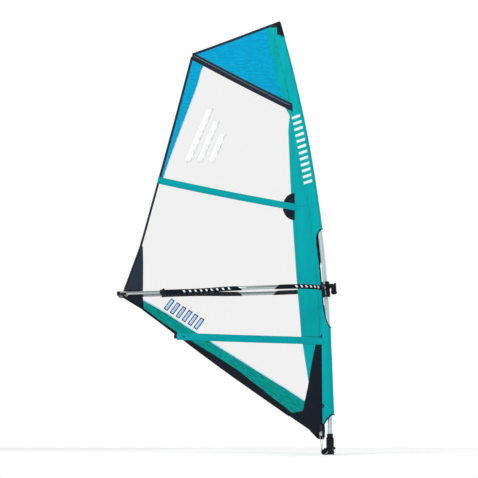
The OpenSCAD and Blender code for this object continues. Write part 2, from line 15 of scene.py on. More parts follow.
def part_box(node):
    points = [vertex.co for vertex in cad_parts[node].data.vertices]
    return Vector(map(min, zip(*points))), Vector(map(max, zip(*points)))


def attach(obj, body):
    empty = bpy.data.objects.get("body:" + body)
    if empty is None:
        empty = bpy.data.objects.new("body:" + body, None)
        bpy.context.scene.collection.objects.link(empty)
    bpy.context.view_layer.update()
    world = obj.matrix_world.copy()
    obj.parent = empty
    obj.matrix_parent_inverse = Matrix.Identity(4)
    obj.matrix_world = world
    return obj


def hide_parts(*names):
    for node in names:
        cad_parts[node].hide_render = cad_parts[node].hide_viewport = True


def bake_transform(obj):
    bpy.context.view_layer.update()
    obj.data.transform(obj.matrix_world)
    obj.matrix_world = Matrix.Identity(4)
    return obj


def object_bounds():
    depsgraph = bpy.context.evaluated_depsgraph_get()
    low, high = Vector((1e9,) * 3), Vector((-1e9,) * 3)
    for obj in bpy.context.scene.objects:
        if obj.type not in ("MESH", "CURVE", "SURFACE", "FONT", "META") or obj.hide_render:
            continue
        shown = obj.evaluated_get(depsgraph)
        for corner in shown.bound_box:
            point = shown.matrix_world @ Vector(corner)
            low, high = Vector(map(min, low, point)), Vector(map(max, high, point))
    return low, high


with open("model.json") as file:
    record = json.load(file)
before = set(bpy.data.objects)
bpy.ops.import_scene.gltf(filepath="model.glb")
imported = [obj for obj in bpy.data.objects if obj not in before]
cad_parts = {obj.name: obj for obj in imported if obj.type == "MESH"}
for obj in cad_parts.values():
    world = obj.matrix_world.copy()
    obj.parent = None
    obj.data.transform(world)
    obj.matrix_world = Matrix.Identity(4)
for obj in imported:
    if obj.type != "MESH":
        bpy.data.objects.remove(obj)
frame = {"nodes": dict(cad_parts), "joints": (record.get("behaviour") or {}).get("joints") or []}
cad_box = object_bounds()
NODES = frame["nodes"]
JOINTS = {j["name"]: j for j in frame["joints"]}
SIDES = {"right": -1, "left": 1}  # the sign of Y on each side


def joint_place(name):
    """Where a joint's axis is."""
    return Vector(JOINTS[name]["pos_m"])


def middle_of(name):
    """The middle of a CAD node's box."""
    low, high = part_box(name)
    return (low + high) / 2


# --- Camera, stage and light ---

CAMERA_TARGET = Vector((-0.612, 0, 1.461))
CAMERA_DISTANCE = 9.5
CAMERA_PITCH = math.radians(8)
CAMERA_LENS = 104.3
SENSOR = 36
ROOM_LIGHT = 0.5
FLOOR_HALF = 4.6
LAMPS = [("key", (-3.2, -4.5, 5.4), 3.0, 240), ("rim", (3.5, 3.5, 3.6), 2.0, 60)]


def add_object(name, data):
    """A new object in the scene's collection."""
    made = bpy.data.objects.new(name, data)
    bpy.context.scene.collection.objects.link(made)
    return made


def make_camera():
    """The camera, which looks up a little at the sail's windward side."""
    data = bpy.data.cameras.new("camera")
    data.lens = CAMERA_LENS
    data.sensor_width = SENSOR
    data.clip_end = 200
    camera = add_object("camera", data)
    back = Vector((0, -math.cos(CAMERA_PITCH), -math.sin(CAMERA_PITCH)))
    camera.location = CAMERA_TARGET + back * CAMERA_DISTANCE
    camera.rotation_euler = (math.pi / 2 + CAMERA_PITCH, 0, 0)
    bpy.context.scene.camera = camera


def plug(owner, socket, value):
    """Links a socket to another one, or sets its own value."""
    if isinstance(value, bpy.types.NodeSocket):
        owner.node_tree.links.new(value, socket)
    else:
        socket.default_value = value


def node(owner, kind, settings=(), **inputs):
    """A shader node with its settings and inputs, whose names have _ for a space."""
    made = owner.node_tree.nodes.new(kind)
    for key, value in dict(settings).items():
        setattr(made, key, value)
    for key, value in inputs.items():
        plug(owner, made.inputs[key.replace("_", " ")], value)
    return made


def make_stage():
    """A wide white floor just under the rig, a white surround, and soft lamps."""
    mesh = bpy.data.meshes.new("floor")
    corners = [(x * FLOOR_HALF, y * FLOOR_HALF, cad_box[0].z - 0.001)
               for x, y in ((-1, -1), (1, -1), (1, 1), (-1, 1))]
    mesh.from_pydata(corners, [], [(0, 1, 2, 3)])
    floor = add_object("floor", mesh)
    paint = bpy.data.materials.new("floor")
    paint.use_nodes = True
    shader = paint.node_tree.nodes["Principled BSDF"]
    for key, value in (("Base Color", (0.96, 0.96, 0.96, 1)), ("Roughness", 0.9),
                       ("Specular IOR Level", 0.1)):
        shader.inputs[key].default_value = value
    mesh.materials.append(paint)

    world = bpy.data.worlds.new("studio")
    world.use_nodes = True
    where = node(world, "ShaderNodeTexCoord").outputs["Generated"]
    split = node(world, "ShaderNodeSeparateXYZ", Vector=where)
    fade = node(world, "ShaderNodeMapRange", Value=split.outputs["Y"], From_Min=-0.3,
                From_Max=0.5, To_Min=ROOM_LIGHT, To_Max=1.0)
    background = world.node_tree.nodes["Background"]
    plug(world, background.inputs["Strength"], fade.outputs[0])
    background.inputs["Color"].default_value = (1, 1, 1, 1)
    bpy.context.scene.world = world
    bpy.context.scene.view_settings.view_transform = "Standard"

    for name, place, size, power in LAMPS:
        data = bpy.data.lights.new(name, "AREA")
        data.shape = "DISK"
        data.size = size
        data.energy = power
        lamp = add_object(name, data)
        lamp.location = place
        aim = CAMERA_TARGET - Vector(place)
        lamp.rotation_euler = aim.to_track_quat("-Z", "Y").to_euler()


make_camera()
make_stage()

# --- Materials ---

M = {}


def math_node(mat, operation, a, b):
    """The output of a Math node on two values or sockets."""
    made = node(mat, "ShaderNodeMath", {"operation": operation})
    plug(mat, made.inputs[0], a)
    plug(mat, made.inputs[1], b)
    return made.outputs[0]


def place_of(mat):
    """Object coordinates, in metres."""
    return node(mat, "ShaderNodeTexCoord").outputs["Object"]


def bands(mat, pitch, direction, distortion=0.0, detail_scale=1.0, turn=0.0):
    """Soft stripes of a real pitch in metres across one direction, from 0 to 1."""
    one_in_a_metre = 2 * math.pi / 20
    place = node(mat, "ShaderNodeMapping", Vector=place_of(mat), Rotation=(0, turn, 0))
    wave = node(mat, "ShaderNodeTexWave", {"bands_direction": direction},
                Vector=place.outputs[0], Scale=one_in_a_metre / pitch, Distortion=distortion,
                Detail=1.0, Detail_Scale=detail_scale)
    return wave.outputs["Fac"]


def blotch(mat, scale, detail=3.0, stretch=(1, 1, 1), turn=0.0):
    """Cloudy noise from 0 to 1, drawn out where stretch is small."""
    turned_place = node(mat, "ShaderNodeMapping", Vector=place_of(mat), Rotation=(0, turn, 0))
    place = node(mat, "ShaderNodeMapping", Vector=turned_place.outputs[0], Scale=stretch)
    return node(mat, "ShaderNodeTexNoise", Vector=place.outputs[0], Scale=scale,
                Detail=detail).outputs["Fac"]


def woven(pitch, across="X"):
    """Height of a plain weave of crossing threads."""
    def height(mat):
        return math_node(mat, "MULTIPLY", bands(mat, pitch, across), bands(mat, pitch, "Z"))
    return height


def cloudy(scale, detail):
    """Height of even noise."""
    def height(mat):
        return blotch(mat, scale, detail)
    return height


def brushed(mat):
    """Height of fine lines along X."""
    place = node(mat, "ShaderNodeMapping", Vector=place_of(mat), Scale=(40, 1500, 1500))
    return node(mat, "ShaderNodeTexNoise", Vector=place.outputs[0], Scale=1.0,
                Detail=2.0).outputs["Fac"]


def spread(mat, factor, low, high):
    """A value from low to high as factor goes from 0.3 to 0.7."""
    return node(mat, "ShaderNodeMapRange", Value=factor, From_Min=0.3, From_Max=0.7,
                To_Min=low, To_Max=high).outputs[0]


def shade(colour, share):
    """The colour made darker or lighter by a share."""
    return tuple(min(1.0, max(0.0, c * share)) for c in colour) + (1.0,)


def mix_colour(mat, factor, a, b):
    """Colour a where factor is 0 and b where it is 1."""
    made = node(mat, "ShaderNodeMix", {"data_type": "RGBA"})
    for spot, value in ((0, factor), (6, a), (7, b)):
        plug(mat, made.inputs[spot], value)
    return made.outputs[2]


def material(name, colour, roughness, tone=0.06, tone_scale=5.0, rough=0.06, height=None,
             bump=0.2, depth=0.0003, pattern=None, stretch=(1, 1, 1), **sockets):
    """Adds to M a Principled material: cloudy colour, uneven roughness and some relief.

    height is a function of the material that gives a socket. pattern is one that gives a
    factor for where the colour changes, and the share it changes by.
    """
    mat = bpy.data.materials.new(name)
    mat.use_nodes = True
    inputs = mat.node_tree.nodes["Principled BSDF"].inputs
    cloud = blotch(mat, tone_scale, stretch=stretch)
    paint = mix_colour(mat, cloud, shade(colour, 1 - tone), shade(colour, 1 + tone))
    if pattern is not None:
        factor, share = pattern(mat)
        paint = mix_colour(mat, factor, paint, shade(colour, share))
    plug(mat, inputs["Base Color"], paint)
    plug(mat, inputs["Roughness"],
         spread(mat, blotch(mat, tone_scale * 6), roughness - rough, roughness + rough))
    if height is not None:
        relief = node(mat, "ShaderNodeBump", Height=height(mat), Strength=bump, Distance=depth)
        plug(mat, inputs["Normal"], relief.outputs[0])
    for key, value in sockets.items():
        inputs[key.replace("_", " ")].default_value = value
    M[name] = mat


def dashes(pitch, length, share, distortion=1.5, cover=0.46, turn=0.0):
    """Pattern of short wavy dashes: level lines broken at uneven intervals."""
    def pattern(mat):
        wave = bands(mat, pitch, "Z", distortion, 8.0, turn)
        line = math_node(mat, "GREATER_THAN", wave, 0.6)
        patches = blotch(mat, 1.0, 1.0, (1 / length, 1, 1 / pitch), turn)
        dash = math_node(mat, "GREATER_THAN", patches, cover)
        return math_node(mat, "MULTIPLY", line, dash), share
    return pattern


def ripstop(pitch, share):
    """Pattern of a fine square grid of thicker threads."""
    def pattern(mat):
        across = math_node(mat, "GREATER_THAN", bands(mat, pitch, "X"), 0.9)
        along = math_node(mat, "GREATER_THAN", bands(mat, pitch, "Z"), 0.9)
        return math_node(mat, "MAXIMUM", across, along), share
    return pattern


def worn(scale, share):
    """Pattern of soft rubbed patches."""
    def pattern(mat):
        return spread(mat, blotch(mat, scale, 6.0), 0.0, 0.55), share
    return pattern


FOOT_TURN = math.radians(-33)
COARSE = woven(0.0022)
GRAIN = cloudy(900.0, 2.0)
CLOTH = {"height": woven(0.0011), "bump": 0.25, "Specular_IOR_Level": 0.05}
METAL = {"height": brushed, "bump": 0.05, "depth": 0.0001, "Metallic": 1.0}
MOULDED = {"height": GRAIN, "bump": 0.12, "depth": 0.0002, "Specular_IOR_Level": 0.16}

# The sleeve's teal has random uneven tone. It is made strong and drawn out into vertical streaks as
# painted shade of the sleeve's soft folds.
material("teal_cloth", (0.0004, 0.37, 0.40), 0.6, 0.20, tone_scale=9.0, stretch=(2.2, 1, 0.22),
         **CLOTH)
material("teal_pocket", (0.0004, 0.34, 0.38), 0.6, 0.08, **CLOTH)
material("blue_cloth", (0.0004, 0.36, 0.63), 0.55, 0.10, tone_scale=4.0,
         pattern=dashes(0.0100, 0.04, 0.72), **CLOTH)
material("green_cloth", (0.0006, 0.30, 0.27), 0.55, 0.06,
         pattern=dashes(0.016, 0.035, 0.62, 0.6, 0.48, FOOT_TURN), **CLOTH)
material("black_cloth", (0.010, 0.014, 0.021), 0.6, 0.12, **CLOTH)
material("slate_cloth", (0.026, 0.041, 0.06), 0.55, 0.1, pattern=ripstop(0.009, 0.75), **CLOTH)
material("navy_tape", (0.008, 0.017, 0.032), 0.6, 0.1, height=COARSE, bump=0.3,
         Specular_IOR_Level=0.2)
material("webbing", (0.025, 0.028, 0.033), 0.7, 0.15, height=COARSE, bump=0.5, depth=0.0006,
         Specular_IOR_Level=0.1)
material("black_plastic", (0.004, 0.005, 0.008), 0.42, 0.15, pattern=worn(30.0, 1.8), **MOULDED)
material("black_moulding", (0.004, 0.006, 0.010), 0.45, 0.15, **MOULDED)
material("button_plastic", (0.02, 0.022, 0.026), 0.35, 0.1, **MOULDED)
material("grey_plastic", (0.22, 0.23, 0.25), 0.4, 0.08, **MOULDED)
material("foam_grip", (0.006, 0.009, 0.014), 0.75, 0.15, height=COARSE, bump=0.5, depth=0.0006,
         Specular_IOR_Level=0.08)
material("rubber", (0.035, 0.035, 0.04), 0.7, 0.1, **MOULDED)
material("aluminium", (0.46, 0.51, 0.50), 0.17, 0.05, tone_scale=9.0, rough=0.04,
         pattern=worn(14.0, 0.93), **METAL)
material("mast_tube", (0.58, 0.70, 0.74), 0.34, 0.05, tone_scale=9.0, rough=0.08, height=brushed,
         bump=0.05, Metallic=0.45)
material("steel", (0.62, 0.63, 0.64), 0.28, 0.05, tone_scale=30.0, rough=0.08, **METAL)
material("batten", (0.66, 0.68, 0.62), 0.4, 0.05, **MOULDED)
material("line", (0.6, 0.62, 0.64), 0.7, 0.1, tone_scale=120.0, height=woven(0.0024, "DIAGONAL"),
         bump=0.7, depth=0.0006, pattern=dashes(0.009, 0.006, 0.35, 0.0))
material("film", (0.10, 0.10, 0.102), 0.2, 0.04, tone_scale=1.5, rough=0.03,
         height=cloudy(7.0, 1.0), bump=0.15, depth=0.002, Alpha=0.072, Specular_IOR_Level=0.3)
material("pale_mark", (0.78, 0.86, 0.87), 0.4, 0.03, **CLOTH)
material("white_mark", (0.93, 0.94, 0.94), 0.3, 0.02, Alpha=0.96)
material("blue_mark", (0.006, 0.07, 0.30), 0.35, 0.06, **CLOTH)
material("sky_mark", (0.52, 0.70, 0.90), 0.35, 0.04, **CLOTH)
material("teal_thread", (0.02, 0.42, 0.44), 0.6, 0.1, height=GRAIN)
# The next grey paints the highlight along the top pocket's upper flank.
material("painted_highlight_grey", (0.17, 0.20, 0.24), 0.6, 0.1, height=GRAIN)
material("dark_thread", (0.05, 0.06, 0.08), 0.6, 0.1, height=GRAIN)

# --- The sail's surface ---

MAST_R = 0.015
BEND_START = 0.490
BEND_R = 9.4
SEAM = 0.054
SLEEVE_R = MAST_R + 0.003
CAMBER = 0.046
DEEPEST = 1.150
BELLY_UP = 1.9
BELLY_DOWN = 1.13
CLEW_TOP = 1.107
LEECH_Z = [1.055, 1.107, 1.413, 1.855, 2.225, 2.545, 2.770]
LEECH_X = [-1.396, -1.400, -1.291, -1.175, -1.078, -0.997, -0.941]
TACK = Vector((-0.06, 0.20))
CLEW = Vector((-1.40, 1.08))
SPACING = 0.014


def mast_x(z):
    """The mast's centre line."""
    return 0.0 if z <= BEND_START else math.sqrt(BEND_R ** 2 - (z - BEND_START) ** 2) - BEND_R


def leech_x(z):
    """The sail's aft edge."""
    return float(np.interp(z, LEECH_Z, LEECH_X))


def belly(x, z):
    """The smooth surface of the filled sail, as in the CAD."""
    reach = BELLY_UP if z > DEEPEST else BELLY_DOWN
    depth = CAMBER * (1 - ((z - DEEPEST) / reach) ** 2)
    chord = (mast_x(z) - x) / (mast_x(z) - leech_x(max(z, CLEW_TOP)))
    chord = min(1.0, max(0.0, chord))
    return depth * 4 * chord * (1 - chord)


def creases(x, z):
    """Tension creases that fan out from the tack and the clew, and slow waves between."""
    total = 0.0
    for corner, height in ((TACK, 0.0012), (CLEW, 0.0010)):
        arm = Vector((x, z)) - corner
        fade = math.exp(-arm.length / 0.30) * min(1.0, arm.length / 0.06)
        total += height * fade * math.sin(16 * math.atan2(arm.y, arm.x))
    total += 0.0009 * noise.noise(Vector((x * 3.1, 0.0, z * 2.3)))
    total += 0.0004 * noise.noise(Vector((x * 9.0 + 5, 1.0, z * 7.0)))
    return total * min(1.0, (mast_x(z) - SEAM - x) / 0.05) if x < mast_x(z) - SEAM else 0.0


def sail_y(x, z):
    """The middle of the cloth at a point of the sail."""
    return belly(x, z) + creases(x, z)


# --- Mesh helpers ---

SMOOTH = math.radians(40)


def circle(count):
    """(cosine, sine) at each step round a circle."""
    turns = [2 * math.pi * k / count for k in range(count)]
    return [(math.cos(a), math.sin(a)) for a in turns]


def squared(value, power):
    """A cosine or sine that makes a circle squarer as power falls below 1."""
    return math.copysign(abs(value) ** power, value)


def skin(bm, rows, closed=False, capped=False):
    """Faces between rows of vertices. Closed rows are rings, which can be capped."""
    for first, second in zip(rows, rows[1:]):
        count = min(len(first), len(second))
        for k in range(count if closed else count - 1):
            n = (k + 1) % count
            bm.faces.new((first[k], first[n], second[n], second[k]))
    if capped:
        bm.faces.new(rows[0][::-1])
        bm.faces.new(rows[-1])


def piece(name, bm, mats, body, slot, *nodes, smooth=SMOOTH, thick=0.0, offset=0.0, even=False):
    """A visual piece from a bmesh, smooth except at edges sharper than an angle. It rides on its
    body and stands for CAD nodes. slot is not used. mats has spaces between names.
    even makes all its faces point the same way."""
    if even:
        bmesh.ops.recalc_face_normals(bm, faces=bm.faces[:])
    bm.normal_update()
    for face in bm.faces:
        face.smooth = True
    for edge in bm.edges:
        if len(edge.link_faces) == 2:
            edge.smooth = edge.calc_face_angle(0.0) < smooth
    mesh = bpy.data.meshes.new(name)
    bm.to_mesh(mesh)
    bm.free()
    for mat in mats.split():
        mesh.materials.append(M[mat])
    obj = add_object(name, mesh)
    if thick:
        solid = obj.modifiers.new("thickness", "SOLIDIFY")
        solid.thickness = thick
        solid.offset = offset
    if body:
        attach(obj, body)
    if nodes:
        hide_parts(*nodes)
    return obj


def outlines(name):
    """Outlines of a CAD cloth's near faces, as closed loops of (x, z)."""
    mesh = NODES[name].data
    mesh.calc_loop_triangles()
    step = 1e5
    edges = set()
    for tri in mesh.loop_triangles:
        if tri.normal.y > -0.5:
            continue
        ring = [mesh.vertices[i].co for i in tri.vertices]
        ring = [(round(p.x * step), round(p.z * step)) for p in ring]
        for a, b in zip(ring, ring[1:] + ring[:1]):
            if (b, a) in edges:
                edges.remove((b, a))
            elif a != b:
                edges.add((a, b))
    following = {}
    for a, b in sorted(edges):
        following.setdefault(a, []).append(b)
    loops = []
    while following:
        route = [min(following)]
        while route[-1] in following:
            onward = following[route[-1]]
            after = onward.pop()
            if not onward:
                del following[route[-1]]
            if after in route:
                loops.append(route[route.index(after):])
                route = route[:route.index(after) + 1]
            else:
                route.append(after)
    loops = [[Vector((x / step, z / step)) for x, z in loop] for loop in loops]
    return sorted((loop for loop in loops if len(loop) > 2), key=lambda loop: -abs(loop_area(loop)))


def loop_area(loop):
    """Signed area of a closed loop."""
    return sum(a.x * b.y - b.x * a.y for a, b in zip(loop, loop[1:] + loop[:1])) / 2


def tidy_loop(loop):
    """The loop without points that lie on top of each other."""
    least = 0.0015
    kept = []
    for p in loop:
        if not kept or (p - kept[-1]).length > least:
            kept.append(p)
    if (kept[0] - kept[-1]).length <= least:
        kept.pop()
    return kept


def grow(loop, distance):
    """The loop moved outwards, or inwards when distance is negative."""
    loop = tidy_loop(loop)
    way = 1 if loop_area(loop) > 0 else -1
    grown = []
    for before, p, after in zip(loop[-1:] + loop[:-1], loop, loop[1:] + loop[:1]):
        u, v = (p - before).normalized(), (after - p).normalized()
        a, b = Vector((u.y, -u.x)) * way, Vector((v.y, -v.x)) * way
        share = max(0.35, 1 + a.dot(b))
        grown.append(p + (a + b) * distance / share)
    return grown


def flat_size(loop):
    """(width, length) of the smallest rectangle round an outline, and its area. A long
    curved strip counts as a straight one of the same area."""
    best = None
    for a, b in zip(loop, loop[1:] + loop[:1]):
        u = (b - a).normalized()
        v = Vector((-u.y, u.x))
        s = [p.dot(u) for p in loop]
        t = [p.dot(v) for p in loop]
        sides = sorted((max(s) - min(s), max(t) - min(t)))
        if best is None or sides[0] * sides[1] < best[0] * best[1]:
            best = sides
    area = abs(loop_area(loop))
    if area < 0.45 * best[0] * best[1]:
        best[0] = area / best[1]
    return best, area


def cloth_sheet(name, loop, thickness, mat, slot, *nodes, surface=sail_y, spacing=SPACING):
    """A sheet within an outline, cut to a fine mesh and laid on the sail's surface."""
    bm = bmesh.new()
    bm.faces.new([bm.verts.new((p.x, 0, p.y)) for p in loop])
    for axis in (0, 2):
        along = [v.co[axis] for v in bm.verts]
        for cut in np.arange(min(along) + spacing, max(along) - spacing / 3, spacing):
            point, normal = Vector((0, 0, 0)), Vector((0, 0, 0))
            point[axis], normal[axis] = cut, 1
            bmesh.ops.bisect_plane(bm, geom=bm.verts[:] + bm.edges[:] + bm.faces[:],
                                   dist=1e-6, plane_co=point, plane_no=normal)
    for v in bm.verts:
        v.co.y = surface(v.co.x, v.co.z)
    obj = piece(name, bm, mat, "rig", slot, *nodes, smooth=math.pi, thick=thickness, even=True)
    (width, length), area = flat_size(loop)
    width, length = round(max(width, 0.011), 4), round(max(length, 0.011), 4)
    area = min(0.999, max(0.302, area / (width * length))) * width * length


def sweep_rings(bm, path, radius, sides, capped=False):
    """A tube along a path, with as little twist as can be. radius is a number or a list
    with one for each point."""
    radii = radius if hasattr(radius, "__len__") else [radius] * len(path)
    rings = []
    tangent = (path[1] - path[0]).normalized()
    up = Vector((0, 0, 1)) if abs(tangent.z) < 0.9 else Vector((0, 1, 0))
    normal = (up - tangent * up.dot(tangent)).normalized()
    for i, p in enumerate(path):
        ahead = path[min(i + 1, len(path) - 1)] - path[max(i - 1, 0)]
        tangent = ahead.normalized()
        normal = (normal - tangent * normal.dot(tangent)).normalized()
        side = tangent.cross(normal)
        rings.append([bm.verts.new(p + (normal * a + side * b) * radii[i])
                      for a, b in circle(sides)])
    skin(bm, rings, True, capped)


def sweep(name, path, radius, mat, body, slot, *nodes, sides=10, capped=True):
    """A piece that is one tube along a path."""
    bm = bmesh.new()
    sweep_rings(bm, path, radius, sides, capped)
    return piece(name, bm, mat, body, slot, *nodes, even=True)


def smooth_path(points, step=0.004):
    """Catmull-Rom curve through points, sampled about every step."""
    points = [Vector(p) for p in points]
    ends = [points[0] * 2 - points[1]] + points + [points[-1] * 2 - points[-2]]
    curve = []
    for a, b, c, d in zip(ends, ends[1:], ends[2:], ends[3:]):
        count = max(2, int((c - b).length / step))
        for k in range(count):
            t = k / count
            curve.append(0.5 * (b * 2 + (c - a) * t + (a * 2 - b * 5 + c * 4 - d) * t * t
                                + (b * 3 - a - c * 3 + d) * t ** 3))
    return curve + [points[-1]]


def moulded(name, source, body, slot, width, mats=None, choose=None):
    """The CAD node's own shape with its hard edges rounded over. choose gives the number
    of a face's material from its middle."""
    bm = bmesh.new()
    bm.from_mesh(NODES[source].data)
    bmesh.ops.remove_doubles(bm, verts=bm.verts[:], dist=2e-6)
    if choose is not None:
        for face in bm.faces:
            face.material_index = choose(face.calc_center_median())
    bmesh.ops.dissolve_limit(bm, angle_limit=math.radians(0.8), verts=bm.verts[:],
                             edges=bm.edges[:], delimit={"MATERIAL"})
    hard = [e for e in bm.edges if len(e.link_faces) == 2
            and e.calc_face_angle(0.0) > math.radians(35)]
    bmesh.ops.bevel(bm, geom=hard, offset=width, segments=2, profile=0.5,
                    affect="EDGES", clamp_overlap=True)
    piece(name, bm, mats or slot, body, slot, source, smooth=math.radians(38))


# --- Cloth panels, film windows, patches and tapes ---

LAP = 0.004
TAPE = 0.0028
LEAST_AREA = 0.0004
STITCH_INSET = 0.006
STITCH_PITCH = 0.0045
STITCH_SWAY = 0.0022
THREAD_R = 0.00035
# name, material, thickness, and whether its edge is stitched
PANELS = [
    ("upper_window", "film", 0.0003, False),
    ("middle_window", "film", 0.0003, False),
    ("lower_window", "film", 0.0003, False),
    ("head_panel", "blue_cloth", 0.0008, True),
    ("leech_panel", "blue_cloth", 0.0009, True),
    ("luff_panel_head", "teal_cloth", 0.0010, True),
    ("luff_panel_upper", "teal_cloth", 0.0010, True),
    ("luff_panel_middle", "teal_cloth", 0.0011, True),
    ("luff_panel_lower", "teal_cloth", 0.0010, False),
    ("foot_panel", "green_cloth", 0.0010, True),
    ("foot_band", "black_cloth", 0.0013, False),
    ("clew_patch", "slate_cloth", 0.0016, True),
    ("luff_patch", "black_cloth", 0.0020, True),
]


def round_patch(name):
    """Half disc on the luff, from its CAD box, as a smooth loop."""
    low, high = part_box(name)
    middle, reach = (low.z + high.z) / 2, (high.z - low.z) / 2 * 1.01
    turns = np.linspace(-math.pi / 2, math.pi / 2, 33)
    return [Vector((high.x - (high.x - low.x) * math.cos(t), middle + reach * math.sin(t)))
            for t in turns]


def panel_loops(name):
    """The outlines that a panel's cloth is cut to."""
    if name == "luff_patch":
        return [round_patch(name)]
    loops = outlines(name)
    if name == "foot_panel":
        under = Vector((0.049, -0.034))
        loops = [[p + under if p.x > -0.30 else p for p in loop] for loop in loops]
    if name == "luff_panel_lower":
        onward = Vector((0.0075, -0.062))
        loops = [[p + onward if p.y < 0.55 else p for p in loop] for loop in loops]
    return loops


def make_panels():
    """One sheet for each cut piece of the sail. Neighbours lap under each other."""
    for name, mat, thickness, _ in PANELS:
        loops = [loop for loop in panel_loops(name) if abs(loop_area(loop)) > LEAST_AREA]
        for count, loop in enumerate(loops):
            label = f"{name}_sheet" if count == 0 else f"{name}_sheet_{count + 1}"
            kind = "black_cloth" if name == "clew_patch" and count == 1 else mat
            cloth_sheet(label, grow(loop, LAP), thickness + count * 0.0003, kind, mat, name)


def make_tack_patch():
    """Heavy cloth on both faces of the tack, up past the lower batten to a point."""
    loop = outlines("tack_patch")[0]
    top = max(p.y for p in loop)
    low, high = Vector((-0.072, 0.779)), Vector((-0.0465, 0.8135))
    shaped = []
    for p, after in zip(loop, loop[1:] + loop[:1]):
        if p.x > -0.062 and p.y > 0.15:
            p = p + Vector((0.006, 0))
        elif abs(p.x + 0.180) < 0.004 and p.y > 0.30:
            p = p - Vector((0, 0.038))
        shaped.append(p)
        if min(p.y, after.y) > top - 0.01:
            shaped += [low, high] if p.x < after.x else [high, low]
    for word, side in SIDES.items():
        cloth_sheet(f"{word}_tack_patch_sheet", shaped, 0.0009, "black_cloth", "black_cloth",
                    "tack_patch", surface=lambda x, z: outer_y(x, z, side) + side * 0.0012)
    bm = bmesh.new()
    zigzag(bm, shaped, 0.0018)
    piece("tack_patch_stitching", bm, "dark_thread", "rig", "black_cloth")


def make_underlays():
    """A strip of cloth behind the luff's seam, and pale tapes that edge two panels."""
    heights = np.linspace(0.34, 2.955, 23).tolist()
    loop = [Vector((mast_x(z) - 0.078, z)) for z in heights]
    loop += [Vector((mast_x(2.976) - 0.026, 2.976)), Vector((mast_x(2.93) - 0.026, 2.93))]
    loop += [Vector((mast_x(z) - 0.045, z)) for z in heights[-2::-1]]
    cloth_sheet("luff_seam_strip", loop, 0.0005, "teal_cloth", "teal_cloth")
    for name, label, over in (("foot_panel", "foot_edge_strip", 0.012),
                              ("leech_panel", "leech_edge_strip", 0.009)):
        for count, loop in enumerate(panel_loops(name)):
            wide = grow(loop, over)
            if abs(loop_area(wide)) > 0.001:
                cloth_sheet(f"{label}_{count + 1}", wide, 0.0006, "sky_mark", "blue_cloth")


def make_tapes():
    """Folded tape along the leech, and along the head as far as the sleeve."""
    for loop, label in zip(outlines("edge_tape"), ("leech_tape", "head_tape")):
        reach = Vector((0.026, 0.0088))
        loop = [p + reach if p.x > -0.38 else p for p in loop]
        cloth_sheet(label, grow(loop, 0.001), TAPE, "navy_tape", "navy_tape", "edge_tape",
                    spacing=0.01)


def zigzag(bm, loop, half_gap):
    """Zigzag stitches just inside an outline, on both faces of the cloth."""
    inner = grow(loop, -STITCH_INSET)
    points = []
    total = 0.0
    for a, b in zip(inner, inner[1:] + inner[:1]):
        run = (b - a).length
        if run < 1e-5:
            continue
        u = (b - a) / run
        side = Vector((-u.y, u.x))
        while total < run:
            sway = STITCH_SWAY if len(points) % 2 else -STITCH_SWAY
            points.append(a + u * total + side * sway)
            total += STITCH_PITCH
        total -= run
    for face in (-1, 1):
        lifted = [Vector((p.x, sail_y(p.x, p.y) + face * half_gap, p.y)) for p in points]
        if len(lifted) > 3:
            sweep_rings(bm, lifted, THREAD_R, 3)


def make_stitching():
    """Thread along the panels' seams, one piece for each colour."""
    for label, mat, dark in (("light_stitching", "teal_thread", False),
                             ("dark_stitching", "dark_thread", True)):
        bm = bmesh.new()
        for name, cloth, thickness, stitched in PANELS:
            if not stitched or ("black" in cloth or "slate" in cloth) != dark:
                continue
            for loop in panel_loops(name):
                if abs(loop_area(loop)) > LEAST_AREA:
                    zigzag(bm, loop, thickness / 2 + 0.0001)
        piece(label, bm, mat, "rig", "black_cloth" if dark else "teal_cloth")


# --- Luff sleeve ---

# (height, distance ahead of the mast's centre line) up the edge of the boom cutout
CUT = [(0.851, 0.022), (0.858, 0.010), (0.872, 0.001), (0.893, -0.006), (0.922, -0.0125),
       (0.975, -0.0188), (1.020, -0.0218), (1.164, -0.0232), (1.268, -0.0244),
       (1.340, -0.0262), (1.430, -0.0282), (1.468, -0.0262), (1.492, -0.0200),
       (1.508, -0.0105), (1.520, 0.001), (1.527, 0.011), (1.530, 0.018)]
CUT_Z = [z for z, _ in CUT]
CUT_OFF = [off for _, off in CUT]
HEM = 0.267
HEM_REACH = 0.12
SLEEVE_TOP = 2.897


def sleeve_radius(z):
    """The sleeve is tight up the mast and widens to its hem."""
    return SLEEVE_R + 0.012 * (max(0.0, 0.720 - z) / 0.455) ** 1.3


def slack(z):
    """How far the sleeve's sides stand apart: they close behind the mast in the cutout."""
    edge = min(abs(z - CUT_Z[0]), abs(z - CUT_Z[-1]))
    inside = CUT_Z[0] < z < CUT_Z[-1]
    return 1 - 0.62 * min(1.0, edge / 0.10) if inside else 1.0


